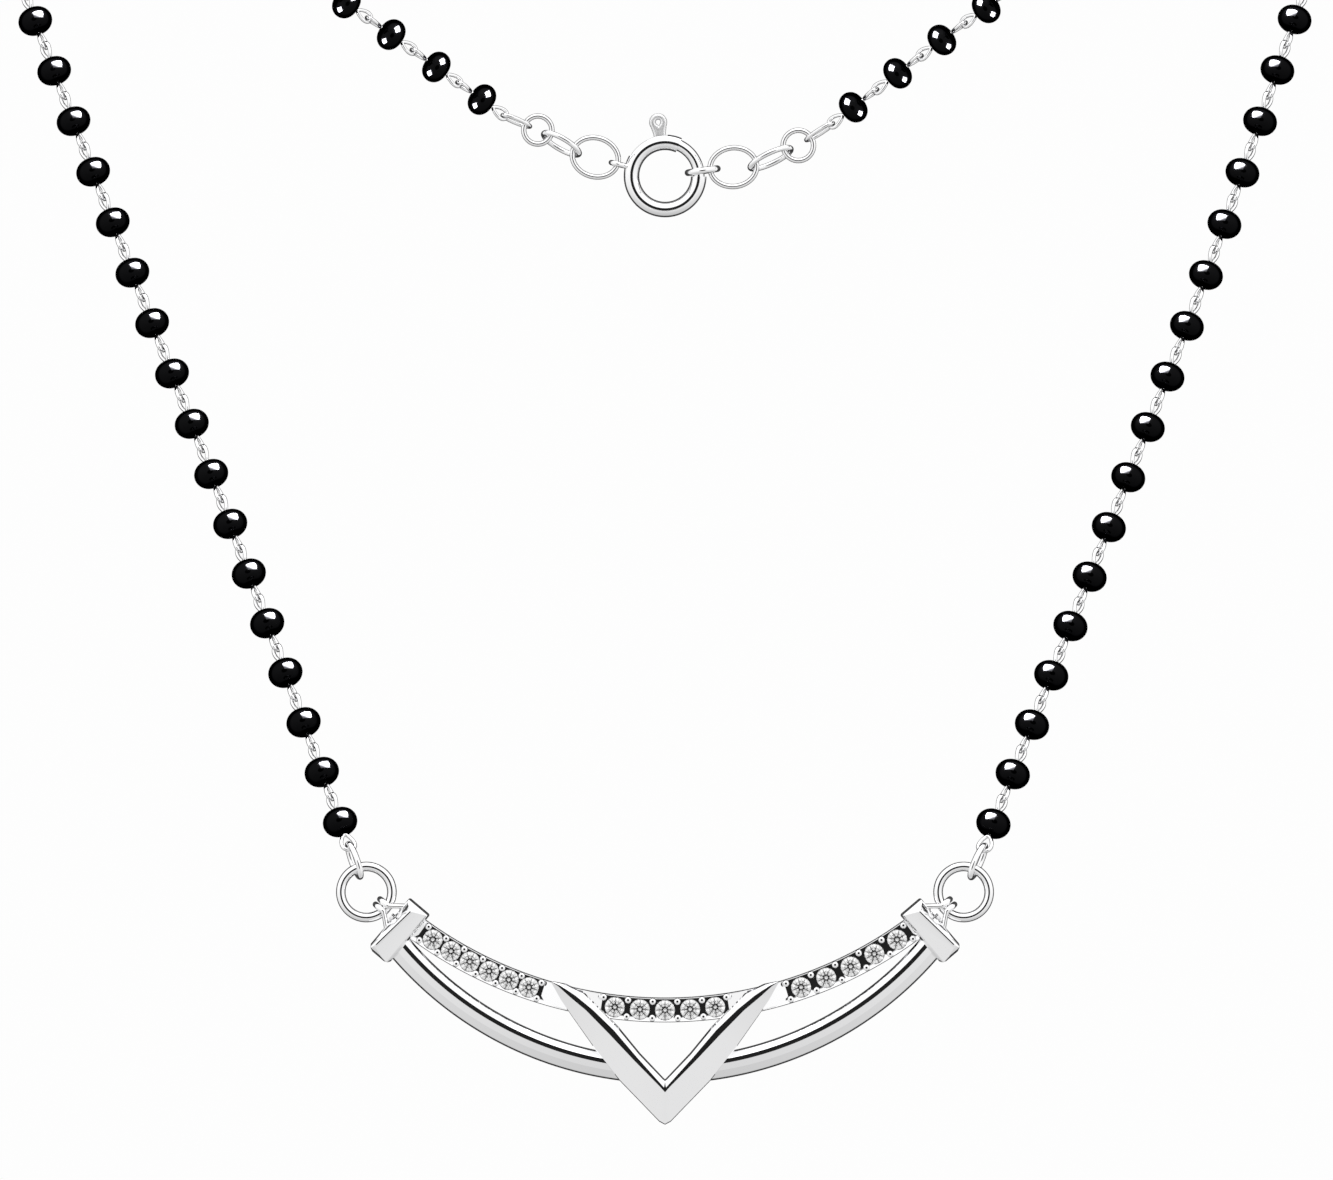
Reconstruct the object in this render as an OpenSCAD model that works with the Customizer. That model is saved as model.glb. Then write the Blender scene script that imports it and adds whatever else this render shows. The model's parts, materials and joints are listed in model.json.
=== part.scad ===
// A mangalsutra: a fine necklace of round black beads, each threaded on a wire with an eye
// at both ends, that carries a curved pendant set with stones and closes with a spring ring.
// Millimetres. +Z is up, the pendant faces -Y, and X runs across the wearer.
// The origin is the middle of the neck opening, level with the string over the shoulders.
// The necklace keeps the shape in which it hangs when it is worn.

/* [Beads] */
// Diameter of a bead
bead_d = 2.34; // [2:0.02:2.6]
// Length of a bead along the string
bead_len = 1.64; // [1.4:0.02:2]
// Distance from bead to bead, rounded so that whole beads fill the string
bead_pitch = 4.1; // [4:0.05:4.6]
// Diameter of the wire through the beads
wire_d = 0.26; // [0.2:0.02:0.3]
// Clearance between a bead's drilling and its wire
bore_gap = 0.1; // [0.1:0.01:0.16]
// Clearance between wires that hook into each other
link_gap = 0.1; // [0.1:0.01:0.14]
// Bare wire between the end of a bead and its eye
eye_neck = 0.2; // [0.18:0.01:0.3]
// How far each eye is turned out of the plane of the string
eye_turn = 52; // [45:1:58]
// The same for the eye nearest the pendant
first_turn = 14; // [0:1:30]

/* [Pendant rings] */
// Outer diameter of the ring at each end of the pendant
ring_d = 4.04; // [3.6:0.02:4.4]
// Wire of that ring
ring_wire = 0.64; // [0.5:0.02:0.7]
// Wire of the oval link between string and ring
hanger_wire = 0.4; // [0.36:0.02:0.46]
// Outer width of that link
hanger_w = 1.66; // [1.6:0.02:2]
// How far that link is turned from edge-on
hanger_turn = 13; // [0:1:30]

/* [Stone bar] */
// Radius of the curved bar, at the middle of its width
bar_r = 27.8; // [27:0.1:29]
// Width of the bar across its two rails
bar_w = 1.64; // [1.6:0.02:1.8]
// Thickness of the bar under the stones
bar_floor = 0.75; // [0.6:0.05:0.9]
// Height of the rails above the bar's back
rail_h = 1.02; // [0.9:0.02:1.1]
// Thickness of a rail
rail_t = 0.1; // [0.08:0.01:0.12]
// Diameter of the beads of metal that hold the stones
prong_d = 0.38; // [0.3:0.02:0.4]
// Height of those beads above the bar's back
prong_h = 1.16; // [1.1:0.02:1.3]

/* [Stones] */
// Girdle diameter of a stone
stone_d = 1.33; // [1.2:0.01:1.34]
// Depth of a stone above its girdle
crown_h = 0.2; // [0.16:0.01:0.24]
// Depth of a stone below its girdle
pavilion_h = 0.57; // [0.5:0.01:0.6]
// Width of a stone's table
table_d = 0.74; // [0.6:0.02:0.8]
// Height of a stone's girdle above the bar's floor
girdle_lift = 0.15; // [0.14:0.01:0.18]
// Width of the seat that each stone hangs over
seat_w = 0.09; // [0.08:0.01:0.1]
// Distance along the bar from stone to stone on the left
left_step = 1.431; // [1.43:0.001:1.46]
// Distance along the bar from stone to stone on the right
right_step = 1.786; // [1.7:0.002:1.8]
// Distance along the bar from its middle to the nearest stone on either side of the chevron
side_start = 9.219; // [9.15:0.001:9.4]
// Clearance between the chevron and the nearest of the five stones inside it
middle_clear = 0.2; // [0.18:0.01:0.3]

/* [Lower arcs] */
// Outer radius of the two plain arcs
arc_r = 23.94; // [23.5:0.02:24.4]
// Width of an arc
arc_w = 1.74; // [1.5:0.02:1.9]
// How far an arc lies below the stone bar in the cap that holds both
arc_split = 2.12; // [2.06:0.01:2.3]
// Height of an arc's ridge above its back
arc_h = 1.3; // [1.2:0.02:1.5]
// Height of an arc's edges above its back
arc_edge_h = 0.85; // [0.7:0.02:1]
// Angle from the middle at which an arc runs into the chevron
arc_from = 6; // [5.7:0.1:6.4]

/* [Chevron] */
// Width of the chevron from tip to tip
chevron_w = 15.1; // [14.8:0.1:15.4]
// Height of the chevron from its point to its tips
chevron_h = 9.52; // [9.3:0.02:9.7]
// How far its point lies below the middle of the stone bar
chevron_drop = 7.62; // [7.5:0.02:7.8]
// Height of its ridge above its back
ridge_h = 1.85; // [1.6:0.05:2]
// Height of its edges above its back
edge_h = 1.2; // [1:0.05:1.3]

/* [End caps] */
// Distance of each cap from the middle of the pendant
cap_x = 17.67; // [17.4:0.02:17.9]
// How far a cap leans out of square to the stone bar
cap_lean = 0.83; // [-1:0.01:2]
// Length of a cap across the bars
cap_len = 4.4; // [4.2:0.02:4.6]
// Thickness of a cap along the bars
cap_t = 1.78; // [1.6:0.02:2]
// Height of a cap above its back
cap_h = 2.1; // [1.9:0.05:2.3]
// Bevel round the front face of a cap
cap_bevel = 0.5; // [0.4:0.02:0.56]

/* [Bails] */
// Wire of the bail on each cap
bail_wire = 0.4; // [0.34:0.02:0.42]
// Clearance between the bail and the ring in it
bail_gap = 0.18; // [0.18:0.01:0.24]
// Distance from the cap to the middle of the ring's wire
bail_reach = 0.74; // [0.7:0.01:0.9]
// How far the bail sits from the cap's middle towards its upper end
bail_shift = 0.54; // [0.4:0.01:0.7]
// Spread of the bail's two loops inside the ring
bail_split = 0.46; // [0.44:0.02:0.6]
// Spread of the bail's legs where they meet the cap
bail_spread = 1.7; // [1.4:0.05:1.8]
// Height of the swing axis above the pendant's back
swing_h = 0.74; // [0.72:0.01:0.8]

/* [Clasp] */
// Outer diameter of the spring ring
clasp_d = 5.94; // [5.8:0.02:6.2]
// Diameter of its tube
tube_d = 1.12; // [1.1:0.01:1.2]
// Wall of its tube
tube_wall = 0.09; // [0.08:0.01:0.1]
// Clearance between the gate and the tube around it
gate_gap = 0.05; // [0.05:0.01:0.08]
// Angle of the tube's upper mouth, from the right and anticlockwise
mouth_top = 66; // [60:1:68]
// Angle of the tube's lower mouth, clockwise from the right
mouth_low = 1; // [0:1:2]
// Angle of the thumb lever when the gate is shut
lever_at = 97.4; // [96:0.1:100]
// How far the lever slides to open the gate
gate_travel = 42; // [30:1:44]
// Thickness of the lever
lever_t = 0.4; // [0.34:0.02:0.46]
// Width of the lever's knob
knob_d = 1.29; // [1.2:0.01:1.34]
// How far the knob stands off the tube
knob_out = 1.56; // [1.5:0.02:1.7]
// Angle of the clasp's fixed eye
eye_at = 166; // [165:0.5:168]

/* [Clasp links] */
// Wire of the clasp's links
link_wire = 0.38; // [0.34:0.02:0.42]
// Length of the large oval link next to the clasp
oval_len = 3.74; // [3.6:0.02:4]
// Width of the large oval link
oval_w = 3.16; // [3:0.02:3.4]
// Length of the turned link on the left
turned_len_left = 3.32; // [3.2:0.02:3.6]
// Length of the turned link on the right
turned_len_right = 3.62; // [3.5:0.02:3.8]
// Width of the turned links
turned_w = 1.9; // [1.8:0.05:2.1]
// How far the turned links are rolled out of the row
link_turn = 60; // [55:1:65]
// Diameter of the small ring on the left
small_d_left = 2.4; // [2.3:0.02:2.6]
// Diameter of the small ring on the right
small_d_right = 2.56; // [2.4:0.02:2.7]
// Wire of the narrow link at each end of the string
end_wire = 0.28; // [0.24:0.02:0.3]
// How far those narrow links are turned from edge-on
end_turn = 20; // [0:1:25]
// Wire of the catch link that the gate closes through
catch_wire = 0.48; // [0.4:0.02:0.5]

/* [Hidden] */
$fn = 32;
left = 0;
right = 1;

// Places of the pendant and the clasp
pendant_y = -58;
pendant_z = -97.93;
clasp_y = 60;
clasp_z = -40.3;

// Where the string lies on each side, from the pendant up over the shoulder and down the
// nape to the clasp. X counts outwards from the middle on both sides. The first point keeps
// its place beside the pendant and the last one beside the clasp.
string_routes = [
    [[21.0, pendant_y + 0.4, pendant_z + 10.83], [29.4, -43.7, -65.0], [36.4, -34.1, -47.5], [43.3, -25.0, -30.0],
     [48.8, -15.6, -15.0], [52.7, -3.0, -5.6], [53.4, 11.0, -2.0], [50.1, 27.0, -3.6],
     [42.2, 41.0, -12.0], [30.8, 51.2, -22.2], [20.5, 56.6, -29.6], [11.5, clasp_y - 0.5, clasp_z + 4.3]],
    [[21.2, pendant_y + 0.4, pendant_z + 10.73], [30.1, -43.6, -65.0], [37.0, -34.1, -47.5], [43.2, -25.2, -30.0],
     [48.5, -15.8, -15.0], [52.4, -3.2, -5.4], [53.4, 11.0, -2.0], [50.2, 27.0, -3.7],
     [42.2, 41.0, -12.0], [30.8, 51.2, -22.6], [20.5, 56.5, -30.1], [11.9, clasp_y - 0.5, clasp_z + 3.7]]];
route_steps = 12;

// One smooth curve through the points of a route
function curve(a, b, c, d, t) = 0.5 * (2 * b + (c - a) * t
    + (2 * a - 5 * b + 4 * c - d) * t * t + (3 * b - a - 3 * c + d) * t * t * t);
function route_point(r, i) = i < 0 ? 2 * r[0] - r[1]
    : i >= len(r) ? 2 * r[i - 1] - r[i - 2] : r[i];
function path(r) = [for (i = [0 : len(r) - 2], k = [0 : route_steps - 1])
    curve(route_point(r, i - 1), r[i], r[i + 1], route_point(r, i + 2), k / route_steps),
    r[len(r) - 1]];
function lengths_along(p) = [for (i = 0, s = 0; i < len(p); i = i + 1,
    s = i < len(p) ? s + norm(p[i] - p[i - 1]) : s) s];

// The string's joints, where one wire's eye hooks into the next, with one bead between
// each joint and the next
function joints_on(r) = let (
    p = path(r), s = lengths_along(p), total = s[len(s) - 1], n = round(total / bead_pitch),
    table = [for (axis = [0 : 2]) [for (i = [0 : len(p) - 1]) [s[i], p[i][axis]]]])
    [for (i = [0 : n]) [for (axis = [0 : 2]) lookup(i * total / n, table[axis])]];
joints = [joints_on(string_routes[0]), joints_on(string_routes[1])];
function last(list) = list[len(list) - 1];

// An eye is just wide enough for the neighbour's wire and its clearance, and the eyes at the
// string's ends are wider by end_slack, because the string bends there
end_slack = 0.06;
eye_w = 3 * wire_d + 2 * link_gap;
first_eye_w = 2 * wire_d + hanger_wire + 2 * link_gap + end_slack;
last_eye_w = 2 * wire_d + end_wire + 2 * link_gap + end_slack;
bead_bore = wire_d + 2 * bore_gap;
bead_bands = 14;
eye_foot = bead_len / 2 + eye_neck;
// How far the middle of a wire w thick lies beyond its joint with an eye
function hook_of(w) = ((wire_d + w) / 2 + link_gap) / 2;

// The chevron's right arm from its point to its tip, as shares of its half width and its height:
// outer edge x and y, ridge x and y, inner edge x and y, and height of the ridge
chevron_rows = [
    [0.00, 0.000, 0.000, 0.228, 0.000, 0.315, 1.00],
    [0.05, 0.021, 0.040, 0.264, 0.020, 0.331, 1.00],
    [0.40, 0.308, 0.271, 0.450, 0.220, 0.499, 1.00],
    [0.62, 0.532, 0.497, 0.640, 0.411, 0.684, 0.98],
    [0.82, 0.758, 0.695, 0.800, 0.572, 0.812, 0.95],
    [0.92, 0.875, 0.834, 0.892, 0.702, 0.918, 0.90],
    [0.98, 0.963, 0.940, 0.968, 0.874, 0.983, 0.84],
    [1.00, 0.992, 0.995, 0.997, 0.985, 1.000, 0.78]];

// The bar's channel, its seats and its stones
bar_half = bar_w / 2;
seat_d = stone_d - 2 * seat_w;
girdle_t = 0.03;
prong_off = bar_half - rail_t - prong_d / 2 + 0.02;
bar_at_cap = bar_r - sqrt(bar_r * bar_r - cap_x * cap_x);
cap_tilt = asin(cap_x / bar_r) + cap_lean;
cap_y = bar_at_cap - arc_split / 2;
arc_mid_r = arc_r - arc_w / 2;
arc_y = bar_at_cap - arc_split + sqrt(arc_mid_r * arc_mid_r - cap_x * cap_x);
bar_end = asin(cap_x / (bar_r + bar_half));
arc_end = asin(cap_x / (arc_r - arc_w));
chevron_in = chevron_w / 2 * lookup(chevron_drop / chevron_h,
    [for (row = chevron_rows) [row[5], row[4]]]);
middle_step = (chevron_in - stone_d / 2 - middle_clear) / 2;
// The bar's angle for a distance along it
function turn_for(d) = d / bar_r * 180 / PI;
left_angles = [for (i = [5 : -1 : 0]) -turn_for(side_start + i * left_step)];
middle_angles = [for (i = [-2 : 2]) turn_for(i * middle_step)];
right_angles = [for (i = [0 : 4]) turn_for(side_start + i * right_step)];
stone_angles = concat(left_angles, middle_angles, right_angles);
prong_angles = concat(
    [for (i = [-1 : 5]) -turn_for(side_start + (i + 0.5) * left_step)],
    [for (i = [-3 : 2]) turn_for((i + 0.5) * middle_step)],
    [for (i = [-1 : 4]) turn_for(side_start + (i + 0.5) * right_step)]);

// The bail and the ring in it, in the pendant's own plan
cap_out = [cos(cap_tilt), sin(cap_tilt)];
cap_up = [-sin(cap_tilt), cos(cap_tilt)];
bail_at = [cap_x, cap_y] + cap_out * (cap_t / 2 + bail_reach) + cap_up * bail_shift;
bail_r = ring_wire / 2 + bail_gap + bail_wire / 2;
ring_r = (ring_d - ring_wire) / 2;
ring_at = bail_at + cap_out * ring_r;
ring_centre = [ring_at.x, pendant_y, pendant_z + ring_at.y];

// The clasp, in its own plan
clasp_r = (clasp_d - tube_d) / 2;
bore_d = tube_d - 2 * tube_wall;
gate_d = bore_d - 2 * gate_gap;
gate_tip = mouth_low + 6;
gate_tail = lever_at + 14;
lever_neck = 0.9;
slot_slack = 0.1;
clasp_eye_r = link_wire + link_gap;
clasp_eye_at = (clasp_d - tube_wall) / 2 - 0.09 + clasp_eye_r + link_wire / 2;
catch_at = 8;
chain_gap = 1.4 * link_gap;
catch_w = tube_d + 2 * link_gap + 2 * catch_wire;

function unit(v) = v / norm(v);
function polar(r, a) = [r * cos(a), r * sin(a)];
function in_clasp(p) = [p.x, clasp_y, clasp_z + p.y];

// Each side's links from the clasp outwards: the middle of the near wire of the oval link,
// which way each link lies, and the centres of the oval link, turned link and small ring
oval_start = [polar(clasp_eye_at, eye_at), polar(clasp_d / 2 + link_gap + link_wire / 2, catch_at)];
lies = [[163, 150, 149], [6, 25, 24]];
function next_start(from, length, lie, next_lie) = from + polar(length - link_wire, lie)
    - polar(link_wire + chain_gap, next_lie);
function chain(start, lie, sizes) = let (
    second = next_start(start, sizes[0], lie[0], lie[1]),
    third = next_start(second, sizes[1], lie[1], lie[2]))
    [start + polar((sizes[0] - link_wire) / 2, lie[0]),
     second + polar((sizes[1] - link_wire) / 2, lie[1]),
     third + polar((sizes[2] - link_wire) / 2, lie[2])];
small_d = [small_d_left, small_d_right];
chains = [chain(oval_start[0], lies[0], [oval_len, turned_len_left, small_d_left]),
    chain(oval_start[1], lies[1], [oval_len, turned_len_right, small_d_right])];
catch_from = clasp_r - gate_d / 2 - link_gap - catch_wire / 2;
catch_to = clasp_d / 2 + 2 * link_gap + link_wire + catch_wire / 2;
end_w = (link_wire + 2 * link_gap) / cos(end_turn) + 2 * end_wire;

// Places children with their z axis along dir and their x axis towards ref
module aim(at, dir, ref = [1, 0, 0]) {
    z = unit(dir);
    x = unit(ref - (ref * z) * z);
    y = cross(z, x);
    multmatrix([[x.x, y.x, z.x, at.x], [x.y, y.y, z.y, at.y], [x.z, y.z, z.z, at.z],
        [0, 0, 0, 1]]) children();
}

// A closed loop of round wire in the XZ plane, longest along Z
module loop(length, width, wire) {
    r = (width - wire) / 2;
    run = round((length - width) * 500) / 500;
    if (run < 0.01) {
        rotate([90, 0, 0]) rotate_extrude() translate([r, 0]) circle(d = wire);
    } else {
        for (s = [-1, 1]) {
            translate([0, 0, s * run / 2]) rotate([s * 90, 0, 0])
                rotate_extrude(angle = 180) translate([r, 0]) circle(d = wire);
            translate([s * r, 0, -run / 2]) cylinder(d = wire, h = run);
        }
    }
}

// A drilled bead, round-edged and a little flattened at its ends. Narrow bands, ground one
// after another, make its round
module bead() {
    edge = bead_len / 2;
    middle = bead_d / 2 - edge;
    reach = acos((bead_bore / 2 - middle) / edge);
    rotate_extrude() polygon([for (i = [-1 : 2 / bead_bands : 1.001])
        [middle, 0] + polar(edge, i * reach)]);
}

// A straight wire through one bead, with an eye at each end that hooks into the next one
module bead_wire(step, is_first, is_last) {
    for (s = [-1, 1]) {
        at_ring = is_first && s < 0;
        width = at_ring ? first_eye_w : is_last && s > 0 ? last_eye_w : eye_w;
        tip = step / 2 + hook_of(at_ring ? hanger_wire : wire_d) + wire_d / 2;
        foot = eye_foot - wire_d / 2;
        rotate([0, 0, s * (at_ring ? first_turn : eye_turn)])
            translate([0, 0, s * (tip + foot) / 2]) loop(tip - foot, width, wire_d);
    }
    translate([0, 0, -eye_foot]) cylinder(d = 0.86 * wire_d, h = 2 * eye_foot);
}

module side(s) {
    if (s == left) mirror([1, 0, 0]) children();
    else children();
}

// Places children between one joint and the next, with the joint's number in $i
module along_string(s) {
    side(s) for ($i = [0 : len(joints[s]) - 2])
        aim((joints[s][$i] + joints[s][$i + 1]) / 2, joints[s][$i + 1] - joints[s][$i])
            children();
}

module beads(s) {
    color([0.03, 0.03, 0.03]) along_string(s) bead();
}

module bead_wires(s) {
    step = norm(joints[s][1] - joints[s][0]);
    color([0.82, 0.82, 0.84]) along_string(s)
        bead_wire(step, $i == 0, $i == len(joints[s]) - 2);
}

// A link from a ring that stands in the XZ plane to a joint of the string
module end_loop(ring, ring_mid_r, ring_w, joint, width, wire, ref, turn) {
    from = ring + ring_mid_r * unit([joint.x - ring.x, 0, joint.z - ring.z]);
    low = -(ring_w + wire) / 2 - link_gap;
    high = norm(joint - from) + hook_of(wire);
    dir = unit(joint - from);
    aim(from + dir * (low + high) / 2, dir, ref) rotate([0, 0, turn])
        loop(high - low + wire, width, wire);
}

// The oval link between the string's first eye and the pendant's ring
module hanger(s) {
    color([0.82, 0.82, 0.84]) side(s) end_loop(ring_centre, ring_r, ring_wire, joints[s][0],
        hanger_w, hanger_wire, [1, 0, 0], 90 - hanger_turn);
}

module jump_ring(s) {
    color([0.82, 0.82, 0.84]) side(s) translate(ring_centre) loop(ring_d, ring_d, ring_wire);
}

// Plan work on the pendant: x across, y up, z out of the pendant's back towards the viewer
module pendant_place() {
    translate([0, pendant_y + swing_h, pendant_z]) rotate([90, 0, 0]) children();
}

// Turns children round the middle of the stone bar's circle, from straight below it
module on_bar(a) {
    translate([0, bar_r, 0]) rotate([0, 0, a]) translate([0, -bar_r, 0]) children();
}

module stone_bar() {
    difference() {
        union() {
            translate([0, bar_r, 0]) rotate([0, 0, 270 - bar_end])
                rotate_extrude(angle = 2 * bar_end) polygon([
                    [bar_r - bar_half, 0], [bar_r + bar_half, 0], [bar_r + bar_half, rail_h],
                    [bar_r + bar_half - rail_t, rail_h], [bar_r + bar_half - rail_t, bar_floor],
                    [bar_r - bar_half + rail_t, bar_floor], [bar_r - bar_half + rail_t, rail_h],
                    [bar_r - bar_half, rail_h]]);
            for (a = prong_angles, s = [-1, 1]) on_bar(a)
                translate([0, s * prong_off, bar_floor - 0.1]) prong();
        }
        for (a = stone_angles) on_bar(a)
            translate([0, 0, -0.5]) cylinder(d = seat_d, h = bar_floor + 1);
    }
}

module prong() {
    top = prong_h - bar_floor + 0.1;
    rotate_extrude() polygon([[0, 0], [prong_d / 2, 0], [prong_d / 2, top - 0.12],
        [prong_d * 0.36, top - 0.03], [prong_d * 0.18, top], [0, top]]);
}

module lower_arc() {
    inner = arc_r - arc_w;
    translate([0, arc_y, 0]) rotate([0, 0, 270 + arc_from])
        rotate_extrude(angle = arc_end - arc_from) polygon([
            [inner, 0], [arc_r, 0], [arc_r, arc_edge_h - 0.15], [arc_r - 0.1, arc_edge_h],
            [inner + 0.44 * arc_w, arc_h], [inner + 0.24 * arc_w, arc_h - 0.08],
            [inner, arc_edge_h]]);
}

// A cross-section of the chevron from a row of its table
function chevron_ring(row, sign) = let (
    w = sign * chevron_w / 2, y = -chevron_drop, top = row[6] * ridge_h,
    edge = min(edge_h, top - 0.2))
    [[row[0] * w, y + row[1] * chevron_h, 0], [row[0] * w, y + row[1] * chevron_h, edge],
     [row[2] * w, y + row[3] * chevron_h, top], [row[4] * w, y + row[5] * chevron_h, edge],
     [row[4] * w, y + row[5] * chevron_h, 0]];

module chevron() {
    tip = len(chevron_rows) - 1;
    rings = concat([for (i = [tip : -1 : 1]) chevron_ring(chevron_rows[i], -1)],
        [for (i = [0 : tip]) chevron_ring(chevron_rows[i], 1)]);
    m = len(rings[0]);
    faces = concat([[for (k = [m - 1 : -1 : 0]) k]],
        [for (i = [0 : len(rings) - 2], k = [0 : m - 1])
            [i * m + k, i * m + (k + 1) % m, (i + 1) * m + (k + 1) % m, (i + 1) * m + k]],
        [[for (k = [0 : m - 1]) (len(rings) - 1) * m + k]]);
    polyhedron([for (r = rings) each r], faces, convexity = 4);
}

// A cap's outline, and the smaller front face that its bevels rise to
module cap_outline() {
    x = cap_t / 2;
    y = cap_len / 2;
    polygon([[x, y - 0.15], [x - 0.1, y], [0.2 - x, y], [-x, y - 0.25], [-x, 0.35 - y],
        [0.25 - x, 0.08 - y], [0, -y], [x - 0.25, 0.1 - y], [x, 0.35 - y]]);
}

module cap_face() {
    x = cap_t / 2;
    y = cap_len / 2;
    polygon([[x - cap_bevel, y - cap_bevel], [0.15 - x, y - cap_bevel - 0.05],
        [0.12 - x, 0.5 - y], [0.3 - x, 0.25 - y], [0, 0.18 - y], [x - 0.45, 0.3 - y],
        [x - 0.34, 0.5 - y]]);
}

module cap() {
    translate([cap_x, cap_y, 0]) rotate([0, 0, cap_tilt]) hull() {
        linear_extrude(cap_h - 0.8 * cap_bevel) cap_outline();
        linear_extrude(cap_h) cap_face();
    }
}

// Two loops side by side round the ring's wire, on legs that spread to the cap
module bail() {
    spread = (bail_spread - bail_split) / 2;
    reach = bail_reach + 0.3;
    translate([bail_at.x, bail_at.y, swing_h]) rotate([0, 0, cap_tilt]) for (s = [-1, 1])
        translate([0, s * bail_split / 2, 0]) {
            rotate([90, 0, 0]) rotate([0, 0, -90]) rotate_extrude(angle = 180)
                translate([bail_r, 0]) circle(d = bail_wire);
            for (z = [-1, 1]) translate([0, 0, z * bail_r]) {
                sphere(d = 1.04 * bail_wire);
                aim([0, 0, 0], [-bail_reach, s * spread, 0], [0, 0, 1])
                    cylinder(d = bail_wire, h = norm([bail_reach, spread]) * reach / bail_reach);
            }
        }
}

module pendant_frame() {
    color([0.82, 0.82, 0.84]) pendant_place() union() {
        stone_bar();
        chevron();
        for (s = [left, right]) side(s) {
            lower_arc();
            cap();
            bail();
        }
    }
}

// A round brilliant: a flat table, a faceted crown, a thin girdle and a pointed pavilion
module stone(i) {
    color([0.9, 0.95, 1]) pendant_place() on_bar(stone_angles[i])
        translate([0, 0, bar_floor + girdle_lift]) hull() {
            cylinder(d = stone_d, h = girdle_t, $fn = 16);
            translate([0, 0, girdle_t]) rotate([0, 0, 22.5])
                cylinder(d = table_d, h = crown_h, $fn = 8);
            translate([0, 0, -pavilion_h]) cylinder(d = 0.06, h = 0.02, $fn = 8);
        }
}

// A narrow link between the string's last eye and the small ring
module end_link(s) {
    ring = in_clasp([abs(chains[s][2].x), chains[s][2].y]);
    color([0.82, 0.82, 0.84]) side(s) end_loop(ring, (small_d[s] - link_wire) / 2, link_wire,
        last(joints[s]), end_w, end_wire, [0, 1, 0], -end_turn);
}

module small_ring(s) {
    color([0.82, 0.82, 0.84]) translate(in_clasp(chains[s][2]))
        loop(small_d[s], small_d[s], link_wire);
}

// A link of one side's chain, k counted from the clasp: turn is its roll out of the row
module clasp_link(s, k, length, width, turn) {
    dir = polar(1, lies[s][k]);
    color([0.82, 0.82, 0.84]) aim(in_clasp(chains[s][k]), [dir.x, 0, dir.y], [0, 1, 0])
        rotate([0, 0, 90 - turn]) loop(length, width, link_wire);
}

module catch_link() {
    dir = polar(1, catch_at);
    mid = polar((catch_from + catch_to) / 2, catch_at);
    color([0.82, 0.82, 0.84]) aim(in_clasp(mid), [dir.x, 0, dir.y], [0, 1, 0])
        loop(catch_to - catch_from + catch_wire, catch_w, catch_wire);
}

// Plan work on the clasp: x across, y up, z towards the viewer from the middle of its tube
module clasp_place() {
    translate([0, clasp_y, clasp_z]) rotate([90, 0, 0]) children();
}

module clasp_ring() {
    sweep = 360 - mouth_top - mouth_low;
    slot_half = asin((lever_neck / 2 + slot_slack) / (clasp_r + bore_d / 2));
    color([0.82, 0.82, 0.84]) clasp_place() {
        difference() {
            rotate([0, 0, mouth_top]) rotate_extrude(angle = sweep) translate([clasp_r, 0])
                difference() {
                    circle(d = tube_d);
                    circle(d = bore_d);
                }
            rotate([0, 0, lever_at - slot_half])
                rotate_extrude(angle = gate_travel + 2 * slot_half)
                    translate([clasp_r, -lever_t / 2 - slot_slack])
                        square([tube_d, lever_t + 2 * slot_slack]);
        }
        rotate([0, 0, eye_at]) translate([clasp_eye_at, 0, 0])
            loop(2 * clasp_eye_r + link_wire, 2 * clasp_eye_r + link_wire, link_wire);
    }
}

module clasp_gate() {
    knob_at = clasp_d / 2 + knob_out - knob_d / 2;
    color([0.82, 0.82, 0.84]) clasp_place() {
        rotate([0, 0, -gate_tip]) rotate_extrude(angle = gate_tip + gate_tail)
            translate([clasp_r, 0]) circle(d = gate_d);
        rotate([0, 0, lever_at]) translate([0, 0, -lever_t / 2]) linear_extrude(lever_t)
            difference() {
                union() {
                    translate([knob_at, 0]) circle(d = knob_d);
                    polygon([[clasp_r, -lever_neck / 2], [clasp_d / 2 + 0.1, -lever_neck / 2],
                        [knob_at - 0.1, -knob_d / 2 + 0.02], [knob_at - 0.1, knob_d / 2 - 0.02],
                        [clasp_d / 2 + 0.1, lever_neck / 2], [clasp_r, lever_neck / 2]]);
                }
                translate([knob_at, 0]) circle(d = 0.34);
                polygon([[knob_at - 0.62, 0], [knob_at - 0.06, -0.16], [knob_at - 0.06, 0.16]]);
            }
    }
}

beads(left);  // beads_left
beads(right);  // beads_right
bead_wires(left);  // bead_wires_left
bead_wires(right);  // bead_wires_right
pendant_frame();
stone(0);  // stone_1
stone(1);  // stone_2
stone(2);  // stone_3
stone(3);  // stone_4
stone(4);  // stone_5
stone(5);  // stone_6
stone(6);  // stone_7
stone(7);  // stone_8
stone(8);  // stone_9
stone(9);  // stone_10
stone(10);  // stone_11
stone(11);  // stone_12
stone(12);  // stone_13
stone(13);  // stone_14
stone(14);  // stone_15
stone(15);  // stone_16
jump_ring(left);  // jump_ring_left
jump_ring(right);  // jump_ring_right
hanger(left);  // hanger_left
hanger(right);  // hanger_right
end_link(left);  // end_link_left
end_link(right);  // end_link_right
small_ring(left);  // small_ring_left
small_ring(right);  // small_ring_right
clasp_link(left, 1, turned_len_left, turned_w, link_turn);  // turned_link_left
clasp_link(right, 1, turned_len_right, turned_w, -link_turn);  // turned_link_right
clasp_link(left, 0, oval_len, oval_w, 0);  // oval_link_left
clasp_link(right, 0, oval_len, oval_w, 0);  // oval_link_right
catch_link();
clasp_ring();
clasp_gate();
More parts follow.
